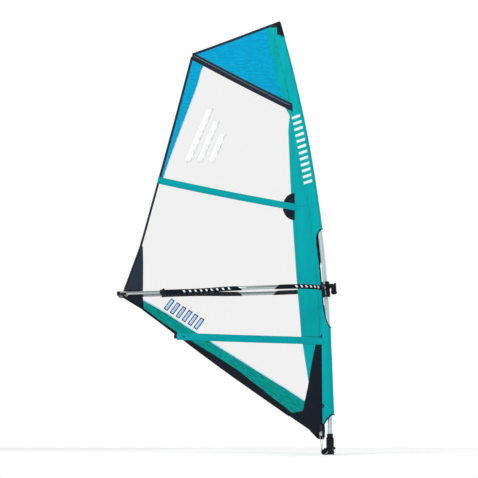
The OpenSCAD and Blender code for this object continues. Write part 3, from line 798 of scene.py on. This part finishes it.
def sleeve_section(z, side, count=30):
    """Points of one side of the sleeve at a height, from its seam to the front or the cut."""
    r = sleeve_radius(z)
    lean = math.acos(-r / SEAM)
    tail = belly(mast_x(z) - SEAM, z)
    corner = Vector((r * math.cos(lean), r * math.sin(lean)))
    straight = [Vector((-SEAM, 0.0)).lerp(corner, t) for t in np.linspace(0, 1, 30)]
    arc = [Vector((r * math.cos(a), r * math.sin(a))) for a in np.linspace(lean, 0, 50)[1:]]
    line = straight + arc
    if CUT_Z[0] < z < CUT_Z[-1]:
        limit = float(np.interp(z, CUT_Z, CUT_OFF))
        line = [p for p in line if p.x <= limit] or line[:2]
    lengths = np.concatenate([[0], np.cumsum([(b - a).length for a, b in zip(line, line[1:])])])
    at = np.linspace(0, lengths[-1], count)
    offs = np.interp(at, lengths, [p.x for p in line])
    half = np.interp(at, lengths, [p.y for p in line])
    points = []
    for off, y in zip(offs, half):
        lean_y = tail * min(1.0, max(0.0, -off / SEAM))
        loose = min(1.0, max(0.0, (0.008 - off) / 0.03)) * min(1.0, (off + SEAM) / 0.01)
        fold = noise.noise(Vector((off * 38, side * 7.0, z * 3.2)))
        pucker = noise.noise(Vector((off * 12 + 3, side * 3.0, z * 26)))
        low = 1 + 1.5 * max(0.0, 0.72 - z) / 0.45
        swell = (0.0011 * fold * low + 0.0005 * pucker) * loose
        points.append(Vector((mast_x(z) + off, side * (y * slack(z) + swell) + lean_y, z)))
    return points


def row_y(row, x):
    """How far out a row of points is at a place along it."""
    return float(np.interp(x, [p.x for p in row], [p.y for p in row]))


def outer_y(x, z, side):
    """The outside of the sleeve at a point, or the middle of the cloth behind its seam
    and below the hem."""
    if x - mast_x(z) < -SEAM or z > SLEEVE_TOP:
        return sail_y(x, z)
    level = uncut_height(z, x)
    out = row_y(sleeve_section(max(level, HEM), side, 40), x)
    below = min(1.0, max(0.0, (HEM - level) / 0.05))
    return out + (sail_y(x, z) - out) * below


def head_rise(z, x):
    """Behind the mast the sleeve's top rises to the head's edge."""
    back = min(1.0, max(0.0, (mast_x(z) - 0.004 - x) / 0.016))
    return 0.078 * back * max(0.0, 1 - (SLEEVE_TOP - z) / 0.12)


def hem_curve(x):
    """How much lower than its front the hem is at a place: it is cut on a hollow slant."""
    return 0.089 * max(0.0, (0.030 - x) / 0.08) ** 2.2


def hem_drop(z, x):
    """What the hem's slant adds to the height of a point of the sleeve."""
    return -hem_curve(x) * max(0.0, 1 - (z - HEM) / HEM_REACH)


def uncut_height(z, x):
    """The height a point of the sleeve would have if its hem were cut level."""
    drop = hem_curve(x)
    level = (z + drop * (1 + HEM / HEM_REACH)) / (1 + drop / HEM_REACH)
    return level if level < HEM + HEM_REACH else z


def cut_row(z, side, count=30):
    """A row of the sleeve as it is cut: raised at the head and hollowed at the hem."""
    row = sleeve_section(z, side, count)
    for p in row:
        rise = head_rise(z, p.x)
        p.x += mast_x(z + rise) - mast_x(z)
        p.z += hem_drop(z, p.x) + rise
    return row


def make_sleeve():
    """One sleeve from hem to head, open at the front where the boom goes on."""
    heights = sorted(set(
        [round(z, 4) for z in np.arange(HEM, SLEEVE_TOP, 0.012)] + CUT_Z + [SLEEVE_TOP]
        + [round(z, 4) for z in np.arange(0.852, 0.93, 0.003)]
        + [round(z, 4) for z in np.arange(1.47, 1.53, 0.003)]))
    bm = bmesh.new()
    for side in SIDES.values():
        skin(bm, [[bm.verts.new(p) for p in cut_row(z, side)] for z in heights])
    bmesh.ops.remove_doubles(bm, verts=bm.verts[:], dist=2e-5)
    obj = piece("luff_sleeve", bm, "teal_cloth", "rig", "teal_cloth", "luff_sleeve_upper",
                "luff_sleeve_lower", "luff_web", smooth=math.pi, thick=0.0007, even=True)


def cut_edge(side):
    """The edge of the cutout on one side of the sleeve."""
    heights = np.concatenate([np.arange(CUT_Z[0] + 0.0005, 0.93, 0.004),
                              np.arange(0.93, 1.47, 0.02), np.arange(1.47, CUT_Z[-1], 0.004)])
    return [sleeve_section(float(z), side)[-1] for z in heights]


def clamp_travel(z):
    """1 where the boom's strap slides behind the mast, fading to 0 above and below."""
    low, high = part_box("mast_strap")
    down, up = JOINTS["boom_height"]["range_m"]
    return min(1.0, max(0.0, 1 - max(low.z + down - 0.01 - z, z - high.z - up - 0.01) / 0.02))


def make_web_edge():
    """Dark tape folded over the web's two layers. It reaches up to the bare mast, except
    where the boom's strap needs the room."""
    bm = bmesh.new()
    rings = []
    for z in np.arange(0.965, 1.500, 0.012).tolist():
        edge = sleeve_section(z, -1)[-1]
        half = abs(edge.y - belly(edge.x, z)) + 0.0012
        ends = min(1.0, (z - 0.957) / 0.02, (1.510 - z) / 0.02)
        free = mast_x(z) - MAST_R - 0.0008
        front = min(free, edge.x + 0.0020 * ends)
        front += (free - front) * (1 - clamp_travel(z))
        back = min(edge.x - 0.0064 * ends, front - 0.0035)
        middle, reach = (front + back) / 2, (front - back) / 2
        rings.append([bm.verts.new((middle + reach * squared(c, 0.6), half * squared(d, 0.6), z))
                      for c, d in circle(16)])
    skin(bm, rings, True, True)
    piece("web_edge_tape", bm, "black_cloth", "rig", "black_cloth", "cutout_binding")


def make_head_binding():
    """The head's tape carried on over the top edge of the sleeve, to the cap."""
    for word, side in SIDES.items():
        bm = bmesh.new()
        skin(bm, [[bm.verts.new((p.x, p.y + side * 0.0013, p.z))
                   for p in cut_row(z, side) if p.x < mast_x(z) + 0.002]
                  for z in np.linspace(SLEEVE_TOP - 0.011, SLEEVE_TOP + 0.0005, 4).tolist()])
        obj = piece(f"{word}_sleeve_head_tape", bm, "navy_tape", "rig", "navy_tape",
                    smooth=math.pi, thick=0.0012, even=True)


def make_bindings():
    """Folded binding round the cutout and round the hem."""
    make_web_edge()
    edge = cut_edge(-1) + cut_edge(1)[::-1]
    route = smooth_path(edge + edge[:1], 0.006)
    sweep("cutout_piping", route, [0.0042 - 0.0020 * clamp_travel(p.z) for p in route],
          "black_cloth", "rig", "black_cloth", "cutout_binding", sides=12, capped=False)
    sweep("sleeve_hem_binding", cut_row(HEM, -1, 24) + cut_row(HEM, 1, 24)[::-1], 0.0040,
          "black_cloth", "rig", "black_cloth", sides=12)
    make_head_binding()


make_panels()
make_tack_patch()
make_underlays()
make_tapes()
make_stitching()
make_sleeve()
make_bindings()

# --- Batten pockets ---

# name, material, width, and how far it runs past the CAD's pocket aft and fore
POCKETS = [
    ("top_pocket", "navy_tape", 0.048, 0.020, 0.024),
    ("middle_pocket", "teal_pocket", 0.047, 0.020, 0.021),
    ("lower_pocket", "teal_pocket", 0.049, 0.002, 0.028),
]
FLANGE = 0.0026
SLANT = 0.30
SWELL = 0.0075
CORE = 0.66


def strip_axis(name):
    """Ends of a CAD strip's centre line as (x, z) points, aft end first."""
    spots = np.array([(v.co.x, v.co.z) for v in NODES[name].data.vertices])
    middle = spots.mean(0)
    _, _, ways = np.linalg.svd(spots - middle, full_matrices=False)
    along, across = ways[0] * (1 if ways[0][0] > 0 else -1), ways[1]
    s, t = (spots - middle) @ along, (spots - middle) @ across
    centre = middle + across * (t.max() + t.min()) / 2
    return Vector(centre + along * s.min()), Vector(centre + along * s.max())


def pocket_shape(name, _, width, aft, fore):
    """A pocket's length, and the function that gives a point of either face. The batten
    swells its middle."""
    start, end = strip_axis(name)
    u = (end - start).normalized()
    start, end = start - u * aft, end + u * fore
    length = (end - start).length
    u = (end - start) / length
    v = Vector((-u.y, u.x))

    def point(s, share, face, extra=0.0):
        swell = max(0.0, 1 - (abs(share) / CORE) ** 2.2) ** 0.8
        ease = min(1.0, 0.86 + s / 0.03, (length - s) / 0.03 + 0.2)
        ripple = 0.0004 * noise.noise(Vector((s * 30, share * 2, face * 4.0)))
        stand = FLANGE + (SWELL - FLANGE) * swell * ease + ripple + extra
        p = start + u * s * (1 - SLANT * share * width / length) + v * share * width / 2
        return Vector((p.x, outer_y(p.x, p.y, face) + face * stand, p.y))

    return length, point


def make_pocket(pocket):
    """A pocket sewn flat along both edges and swollen by its batten."""
    name, mat, width = pocket[:3]
    length, point = pocket_shape(*pocket)
    stations = int(length / 0.012)
    shares = np.linspace(-1, 1, 23).tolist()
    bm = bmesh.new()
    near, far = [], []
    for face, rows in ((-1, near), (1, far)):
        rows += [[bm.verts.new(point(length * i / stations, t, face)) for t in shares]
                 for i in range(stations + 1)]
        skin(bm, rows)
    for k in (0, -1):
        skin(bm, [[row[k] for row in near], [row[k] for row in far]])
        skin(bm, [near[k], far[k]])
    obj = piece(f"{name}_sleeve", bm, mat, "rig", mat, name, even=True)


def make_pocket_thread():
    """Stitches along both edges of each pocket, and a grey line along the top one's upper flank: a
    painted highlight on its swell.
    """
    bm = bmesh.new()
    for pocket in POCKETS:
        length, point = pocket_shape(*pocket)
        for share in (-0.90, 0.90):
            for s in np.arange(0.004, length - 0.006, 0.007).tolist():
                for face in (-1, 1):
                    stitch = [point(t, share, face, 1e-4) for t in (s, s + 0.0042)]
                    sweep_rings(bm, stitch, 0.0004, 4)
    piece("pocket_stitching", bm, "dark_thread", "rig", "teal_cloth")

    # A grey line on both faces of the top pocket's upper flank: a painted highlight where its swell
    # meets the light.
    length, point = pocket_shape(*POCKETS[0])
    stops = np.linspace(0.01, length - 0.02, 60).tolist()
    bm = bmesh.new()
    for face in (-1, 1):
        sweep_rings(bm, [point(s, 0.26, face) for s in stops], 0.0020, 8)
    piece("top_pocket_painted_highlight", bm, "painted_highlight_grey", "rig", "navy_tape")


for pocket in POCKETS:
    make_pocket(pocket)
make_pocket_thread()

# --- Boom, in its own frame ---

PIVOT = joint_place("boom_tilt")
AFT = Vector(JOINTS["boom_extension"]["axis"])
BOOM = Matrix.Translation(PIVOT) @ Matrix((
    (AFT.x, 0, AFT.z, 0), (0, -1, 0, 0), (AFT.z, 0, -AFT.x, 0), (0, 0, 0, 1)))
ARM_R = 0.0135
ARM_STEP = 0.006
GRIP_R = 0.0155
TUBE_SIDES = 28
BAR_LENGTH = 0.014
BAR_LEAN = 0.009
BAR_TURN = math.radians(27)
ARM_START = (0.014, 0.046, math.radians(50))
# straights (0, length) and bends (1 inwards or -1 outwards, radius, degrees)
ARM_BENDS = [(0, 0.038), (0, 0.032), (1, 0.260, 45), (1, 1.700, 3.2), (1, 1.700, 8.3),
             (1, 0.600, 19.5), (-1, 0.350, 26), (0, 0.152), (0, 0.033)]


def along(place, bend, share):
    """The place and heading at a share of one straight or bend of the arm."""
    x, y, heading = place
    way, size = bend[:2]
    if way == 0:
        return (x + size * share * math.cos(heading), y + size * share * math.sin(heading),
                heading)
    turned = heading - way * math.radians(bend[2]) * share
    r = way * size
    return (x + r * (math.sin(heading) - math.sin(turned)),
            y + r * (math.cos(turned) - math.cos(heading)), turned)


def arm_line(first, last):
    """Places on the arm's centre line in the boom's frame, from one bend to another."""
    place = ARM_START
    line = []
    for i, bend in enumerate(ARM_BENDS):
        length = bend[1] if bend[0] == 0 else bend[1] * math.radians(bend[2])
        count = max(1, int(length / ARM_STEP))
        if first <= i <= last:
            line += [along(place, bend, k / count) for k in range(count)]
        place = along(place, bend, 1)
        if i == last:
            line.append(place)
    return line


def run_lengths(places):
    """How far along the arm each place is from the first."""
    lengths = [0.0]
    for a, b in zip(places, places[1:]):
        lengths.append(lengths[-1] + math.hypot(b[0] - a[0], b[1] - a[1]))
    return lengths


def round_arm(place, r, turn, side, shift=0.0):
    """A point of the rig at a turn round the arm, shifted along it."""
    x, y, heading = place
    x, y = x + shift * math.cos(heading), y + shift * math.sin(heading)
    x -= r * math.cos(turn) * math.sin(heading)
    y += r * math.cos(turn) * math.cos(heading)
    return BOOM @ Vector((x, -side * y, r * math.sin(turn)))


def tube_piece(name, places, side, outer, inner, mat, stands_for, slant=(0.0, 0.0),
               relief=None):
    """A tube along arm places, open at both ends with a rim, each end cut on a slant."""
    bm = bmesh.new()
    lengths = run_lengths(places)
    total = lengths[-1]
    shells = []
    for radius in (outer, inner):
        rings = []
        for s, place in zip(lengths, places):
            lean = slant[0] * math.exp(-s / 0.04) + slant[1] * math.exp((s - total) / 0.04)
            ring = []
            for k in range(TUBE_SIDES):
                turn = 2 * math.pi * k / TUBE_SIDES
                raised = relief(s, total, turn) if relief and radius == outer else 0.0
                ring.append(bm.verts.new(round_arm(place, radius + raised, turn, side,
                                                   lean * math.sin(turn))))
            rings.append(ring)
        skin(bm, rings, True)
        shells.append(rings)
    for i in (0, -1):
        skin(bm, [shells[0][i], shells[1][i]], True)
    piece(name, bm, mat, "boom_frame", mat, stands_for, even=True)


def grip_relief(s, total, turn):
    """Rounded ends and the shallow wrapped grooves of the foam grip."""
    ends = min(1.0, s / 0.006, (total - s) / 0.006)
    groove = 0.00022 * math.sin(2 * math.pi * s / 0.014 + 2 * turn)
    return -0.0012 * (1 - ends) ** 2 + groove * ends


def grip_bar(bm, places, side, start):
    """A slanted bar on a grip's outer side, as a shell a little above its foam."""
    lengths = run_lengths(places)
    rows = []
    for onward in np.linspace(0, BAR_LENGTH, 6):
        row = []
        for share in np.linspace(0, 1, 10).tolist():
            s = start + onward + BAR_LEAN * share
            place = [float(np.interp(s, lengths, values)) for values in zip(*places)]
            turn = BAR_TURN * (2 * share - 1)
            row.append(bm.verts.new(round_arm(place, GRIP_R + 0.0005, turn, side)))
        rows.append(row)
    skin(bm, rows)


def make_arms():
    """Both arms, their foam grips and plain bars on the grips."""
    for word, side in SIDES.items():
        tube_piece(f"{word}_arm_tube", arm_line(0, 8), side, ARM_R, ARM_R - 0.0025, "aluminium",
                   f"{word}_arm")
        for place, first, last, slant, start, pitch, count in (
                ("front", 1, 3, (0.0, -0.016), 0.02, 0.034, 6),
                ("rear", 5, 7, (0.016, 0.0), 0.06, 0.040, 9)):
            line = arm_line(first, last)
            tube_piece(f"{word}_{place}_grip", line, side, GRIP_R, ARM_R + 0.0001, "foam_grip",
                       "boom_grips", slant, grip_relief)
            bm = bmesh.new()
            for k in range(count):
                grip_bar(bm, line, side, start + pitch * k)
            piece(f"{word}_{place}_grip_bars", bm, "pale_mark", "boom_frame", "foam_grip",
                  thick=0.0004)


make_arms()

# --- Everything hard that keeps its CAD shape, with rounded edges ---

# piece, CAD node, body, material and slot, and how far the edges are rounded
MOULDINGS = [
    ("foot_cup_moulding", "foot_cup", "root", "black_plastic", 0.0012),
    ("base_pulley_block", "downhaul_block", "root", "black_plastic", 0.0010),
    ("downhaul_cleat_moulding", "downhaul_cleat", "root", "black_plastic", 0.0010),
    ("extension_collar_moulding", "extension_collar", "rig", "black_plastic", 0.0014),
    ("collar_lever_moulding", "collar_lever", "collar_lever", "black_plastic", 0.0007),
    ("mast_tip_plug_moulding", "mast_tip_plug", "rig", "black_plastic", 0.0010),
    ("tack_block_plates", "tack_block", "rig", "steel", 0.0005),
    ("batten_cap_mouldings", "batten_caps", "rig", "black_moulding", 0.0008),
    ("boom_head_moulding", "boom_head", "boom_head", "black_plastic", 0.0014),
    ("boom_head_strap", "mast_strap", "mast_strap", "black_moulding", 0.0005),
    ("clamp_lever_moulding", "clamp_lever", "clamp_lever", "black_plastic", 0.0012),
    ("arm_socket_mouldings", "arm_sockets", "boom_frame", "black_plastic", 0.0010),
    ("arm_end_collar_mouldings", "arm_end_collars", "boom_frame", "black_plastic", 0.0040),
    ("release_button_cap", "release_button", "release_button", "button_plastic", 0.0010),
    ("lock_button_cap", "right_lock_button", "lock_button", "button_plastic", 0.0008),
]
KEPT = {
    "aluminium": ["extension_tube"],
    "black_moulding": ["base_sheave_right", "base_sheave_left", "base_axle", "tack_ring"],
    "mast_tube": ["mast_bottom_section", "mast_ferrule", "mast_top_section"],
    "batten": ["top_batten", "middle_batten", "lower_batten"],
    "steel": ["clew_ring", "pivot_bolts"],
    "grey_plastic": ["tack_sheave", "tail_sheave"],
    "rubber": ["head_liner"],
}
TAIL_PIN_R = 0.0035
TAIL_FITTING = 0.049
TAIL_END = 0.004


def tail_material(spot):
    """Bare tube (0) forward and over the moulded fitting (1), and the steel pin (2)."""
    local = BOOM.inverted() @ spot
    pin = BOOM.inverted() @ joint_place("tail_sheave_turn")
    if math.hypot(local.x - pin.x, local.y - pin.y) < TAIL_PIN_R:
        return 2
    under = local.z < 0.001 and local.x > pin.x - TAIL_FITTING
    return 1 if under or local.x > pin.x - TAIL_END else 0


def make_lever_grip():
    """The thumb piece of the clamp lever, rounded at both ends and waisted in the middle."""
    low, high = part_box("clamp_lever")
    middle, half = (low + high) / 2, (high - low) / 2
    lean = Matrix.Rotation(-math.radians(3.8), 3, "Y")
    bm = bmesh.new()
    rings = []
    for t in np.linspace(-1, 1, 25).tolist():
        body = max(0.02, 1 - abs(t) ** 5) ** 0.5
        waist = 0.74 + 0.26 * min(1.0, abs(t - 0.05) / 0.45)
        ring = [Vector((0.019 * body * waist * squared(c, 0.7) - 0.003,
                        (half.y + 0.001) * body * squared(d, 0.6), t * 0.035 - 0.005))
                for c, d in circle(24)]
        rings.append([bm.verts.new(middle + lean @ p) for p in ring])
    skin(bm, rings, True, True)
    piece("clamp_lever_grip", bm, "black_plastic", "clamp_lever", "black_plastic")


make_lever_grip()
for row in MOULDINGS:
    moulded(*row)
moulded("boom_tail_bow", "tail_bow", "boom_tail", "aluminium", 0.0016,
        "aluminium black_plastic steel", tail_material)
for mat, names in KEPT.items():
    for name in names:
        for place in NODES[name].material_slots:
            place.material = M[mat]

# --- Lines ---

LINE_R = 0.002
LASHING_R = 0.0016
ROPE_STEP = 0.003
BASE_WRAP = 0.0130
TACK_WRAP = 0.0125
JAW_Z = 0.028


def rope(name, node_name, points, step):
    """A braided line along a smooth route."""
    line = sweep(name, smooth_path(points, step), LINE_R, "line", None, "line", node_name)
    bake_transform(line)


def round_sheave(centre, radius, start, end, count, y):
    """Points round a sheave that turns about Y, from one angle to another in degrees."""
    turns = np.radians(np.linspace(start, end, count))
    return [Vector((centre.x + radius * math.cos(t), y, centre.z + radius * math.sin(t)))
            for t in turns]


def make_downhaul():
    """From a knot at the base, over the tack pulley, round the base pulley, to the cleat."""
    right = joint_place("base_sheave_right_turn")
    left = joint_place("base_sheave_left_turn")
    cleat = middle_of("downhaul_cleat")
    jaw = Vector((cleat.x, cleat.y, JAW_Z))
    route = round_sheave(left, BASE_WRAP, 330, 175, 9, left.y)
    route += round_sheave(joint_place("tack_sheave_turn"), TACK_WRAP, 170, 10, 9, 0)
    route += round_sheave(right, BASE_WRAP, 175, 300, 8, right.y)
    route += [Vector((-0.030, -0.018, 0.006)), Vector((-0.018, jaw.y, 0.018)),
              jaw + Vector((-0.004, 0, 0)), jaw + Vector((0.016, -0.001, 0.004)),
              Vector((0.026, jaw.y, 0.022)), Vector((0.028, jaw.y - 0.002, 0.010))]
    rope("downhaul_rope", "downhaul_line", route, ROPE_STEP)


def make_outhaul():
    """The outhaul's run along the boom, and the lashing that holds the clew."""
    low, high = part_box("outhaul_line")
    y = (low.y + high.y) / 2
    fore = Vector((high.x, y, PIVOT.z + (high.x - PIVOT.x) * AFT.z / AFT.x))
    aft = Vector((low.x, y, PIVOT.z + (low.x - PIVOT.x) * AFT.z / AFT.x))
    rope("outhaul_rope", "outhaul_line",
         [fore + Vector((0.006, 0, 0)), fore.lerp(aft, 0.3), fore.lerp(aft, 0.7),
          aft - Vector((0.004, 0, 0))], 0.004)

    ring = middle_of("clew_ring")
    sheave = joint_place("tail_sheave_turn")
    loop = [ring + Vector(p) for p in (
        (0, -0.010, -0.001), (-0.008, -0.009, -0.001), (-0.022, -0.0085, -0.001))]
    loop += [sheave + Vector(p) for p in (
        (0.002, -0.0105, 0), (-0.0085, -0.006, 0), (-0.0105, 0, 0), (-0.0085, 0.006, 0),
        (0.002, 0.0105, 0))]
    loop += [ring + Vector(p) for p in (
        (-0.022, 0.0095, 0.001), (-0.008, 0.010, 0.001), (0, 0.010, 0.001), (0.003, 0.004, 0),
        (0.002, -0.006, -0.001), (-0.006, -0.014, -0.002))]
    sweep("clew_lashing", smooth_path(loop, ROPE_STEP), LASHING_R, "line", "boom_tail", "line")


make_downhaul()
make_outhaul()

# --- Webbing at the tack, head cap, screws ---


def ribbon(name, points, width_way, width, thickness, mat):
    """A flat strap along a route, wide in one direction."""
    curve = smooth_path(points)
    shares = np.linspace(-1, 1, 7)
    bm = bmesh.new()
    skin(bm, [[bm.verts.new(p + width_way * s * width / 2) for s in shares] for p in curve])
    obj = piece(name, bm, mat, "rig", "black_cloth", smooth=math.pi, thick=thickness)
    length = sum((b - a).length for a, b in zip(curve, curve[1:]))


def make_tack_strap():
    """Doubled webbing from the pulley's plates up each face of the tack."""
    ring = middle_of("tack_ring")
    foot = Vector((middle_of("tack_block").x, 0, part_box("tack_block")[1].z - 0.028))
    top = Vector((ring.x + 0.022, 0, ring.z - 0.122))
    for word, side in SIDES.items():
        route = []
        for share in np.linspace(0, 1, 6).tolist():
            p = foot.lerp(top, share)
            flare = 0.0105 * (1 - share ** 2) + 0.0022
            p.y = side * flare + sail_y(p.x, p.z) * min(1.0, share * 2)
            route.append(p)
        ribbon(f"{word}_tack_webbing", route, Vector((1, 0, 0.12)), 0.026, 0.0016, "webbing")


def make_tack_flap():
    """A flap of the tack's cloth behind the pulley, with a round bottom."""
    _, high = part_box("tack_block")
    loop = [Vector(p) for p in ((-0.135, 0.159), (-0.112, 0.135), (-0.092, 0.114), (-0.078, 0.103),
                                (-0.064, 0.0995), (-0.045, 0.101), (-0.037, 0.107),
                                (-0.0345, 0.125), (-0.036, 0.186), (-0.060, 0.200),
                                (-0.110, 0.190))]

    def surface(x, z):
        away = 1 - min(1.0, max(0.0, (z - 0.160) / 0.045))
        return (high.y + 0.0075) * away ** 2 + (sail_y(x, z) + 0.0050) * (1 - away ** 2)

    cloth_sheet("tack_flap", loop, 0.0012, "black_cloth", "black_cloth", surface=surface,
                spacing=0.006)


def make_head_cap():
    """Padded cap of webbing over the mast's tip, with a hem."""
    cap_z = 2.9
    foot = Vector((mast_x(cap_z), 0, cap_z))
    tilt = math.asin((cap_z - BEND_START) / BEND_R)
    turn = Matrix.Translation(foot) @ Matrix.Rotation(-tilt, 4, "Y")
    tall = max((turn.inverted() @ v.co).z for v in NODES["head_cap"].data.vertices)
    # (radius, height) up the cap
    profile = [(0.0198, -0.004), (0.0202, 0.004), (0.0190, 0.007), (0.0196, 0.022),
               (0.0194, 0.050), (0.0194, tall - 0.022), (0.0182, tall - 0.010),
               (0.0145, tall - 0.003), (0.0080, tall), (0.0001, tall + 0.0004)]
    bm = bmesh.new()
    rings = []
    for r, z in profile:
        up = min(1.0, max(0.0, z / tall))
        slope = 0.2 * up - 0.62 * (1 - up) ** 2
        ring = []
        for c, d in circle(32):
            rippled = r * (1 + 0.012 * noise.noise(Vector((c * 2, d * 2, z * 60))))
            x = rippled * c * (1 + 0.55 * (1 - up) if c < 0 else 1)
            ring.append(bm.verts.new(turn @ Vector((x, rippled * d, z + slope * x))))
        rings.append(ring)
    skin(bm, rings, True)
    obj = piece("head_cap_cover", bm, "black_cloth", "rig", "black_cloth", "head_cap",
                thick=0.0012, offset=-1.0)


def screw_head(bm, place, normal, radius=0.0028, height=0.0012):
    """A low round screw head with a round socket."""
    turn = normal.to_track_quat("Z", "Y").to_matrix().to_4x4()
    profile = [(radius, 0.0), (radius, height * 0.6), (radius * 0.85, height),
               (radius * 0.5, height), (radius * 0.42, height * 0.3), (0.0001, height * 0.3)]
    skin(bm, [[bm.verts.new(place + turn @ Vector((r * c, r * d, z))) for c, d in circle(12)]
              for r, z in profile], True)


def make_screws():
    """One screw in the end of each pocket's cap, and one through the lower pocket."""
    bm = bmesh.new()
    for name, *_ in POCKETS:
        start, end = strip_axis(name)
        u = (end - start).normalized()
        cap = start - u * 0.0203
        screw_head(bm, Vector((cap.x, sail_y(cap.x, cap.y), cap.y)), Vector((-u.x, 0, -u.y)))
    _, point = pocket_shape(*POCKETS[2])
    for face in (-1, 1):
        screw_head(bm, point(0.049, 0.0, face, -0.0003), Vector((0, face, 0)), 0.0060, 0.0018)
    piece("batten_cap_screws", bm, "black_moulding", "rig", "steel")


def make_luff_strap():
    """A narrow strap from the sleeve's hem down beside the mast, and an eyelet above it."""
    for word, side in SIDES.items():
        route = [Vector((x, side * y, z)) for x, y, z in (
            (-0.047, 0.0085, 0.205), (-0.044, 0.0115, 0.185), (-0.043, 0.0135, 0.150),
            (-0.045, 0.0135, 0.116))]
        ribbon(f"{word}_luff_strap", route, Vector((1, 0, 0.05)), 0.018, 0.0018, "black_cloth")
        spot = Vector((-0.0475, 0, 0.3241))
        spot.y = outer_y(spot.x, spot.z, side) + side * 0.0022
        out = Vector((-0.30, side * 0.95, 0)).normalized()
        turn = Matrix.Translation(spot) @ out.to_track_quat("Z", "Y").to_matrix().to_4x4()
        loop = [turn @ Vector((0.0088 * c, 0.0088 * d, 0)) for c, d in circle(32)]
        sweep(f"{word}_luff_eyelet", loop + loop[:1], 0.0034, "black_moulding", "rig",
              "black_cloth", capped=False)


make_tack_strap()
make_tack_flap()
make_luff_strap()
make_head_cap()
make_screws()

# --- Plain marks in place of lettering ---


def slanted(x, z, width, height, lean):
    """A leaning four-sided outline from its lower left corner."""
    return [Vector((x, z)), Vector((x + width, z)), Vector((x + width + lean, z + height)),
            Vector((x + lean, z + height))]


def turned(loop, centre, degrees):
    """The outline turned about a point."""
    turn = Matrix.Rotation(math.radians(degrees), 2)
    return [turn @ (p - centre) + centre for p in loop]


def make_window_stripes():
    """Three slanted white bars of falling height on the upper window."""
    low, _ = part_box("upper_window")
    for k in range(3):
        height = 0.38 - 0.09 * k
        loop = slanted(low.x + 0.150 + 0.082 * k, low.z + 0.29, 0.044, height, height * 0.42)
        cloth_sheet(f"window_stripe_{k + 1}", loop, 0.0008, "white_mark", "film", spacing=0.02)


def make_foot_blocks():
    """A row of plain outlined blocks above the foot."""
    start, end = Vector((-1.128, 0.985)), Vector((-0.925, 0.856))
    tilt = math.degrees(math.atan2(end.y - start.y, end.x - start.x))
    for k in range(6):
        p = start.lerp(end, k / 5)
        for word, inset, thickness, mat in (("edge", 0.0, 0.0007, "blue_mark"),
                                            ("inner", 0.0065, 0.0009, "sky_mark")):
            loop = grow(turned(slanted(p.x, p.y, 0.031, 0.088, 0.006), p, tilt), -inset)
            cloth_sheet(f"foot_block_{word}_{k + 1}", loop, thickness, mat, "blue_cloth",
                        spacing=0.02)


def bar_y(x, z, side):
    """The outside of the sleeve, or of the luff panel behind its seam."""
    if x - mast_x(z) < -SEAM:
        return belly(x, z) + side * 0.0009
    return row_y(sleeve_section(z, side, 60), x)


def make_sleeve_bars():
    """A column of pale bars up the sleeve, on both faces."""
    low, high = 1.84, 2.34
    count = 12
    for word, side in SIDES.items():
        bm = bmesh.new()
        for k in range(count):
            rows = []
            for s in np.linspace(0, 0.019, 3).tolist():
                row = []
                for t in np.linspace(-0.066, -0.006, 12).tolist():
                    z = low + (high - low) / count * k + s + t * 0.25 + 0.018
                    x = mast_x(z) + t
                    row.append(bm.verts.new((x, bar_y(x, z, side) + side * 0.0008, z)))
                rows.append(row)
            skin(bm, rows)
        piece(f"{word}_sleeve_bars", bm, "pale_mark", "rig", "teal_cloth", smooth=math.pi,
              thick=0.0004, even=True)


make_window_stripes()
make_foot_blocks()
make_sleeve_bars()
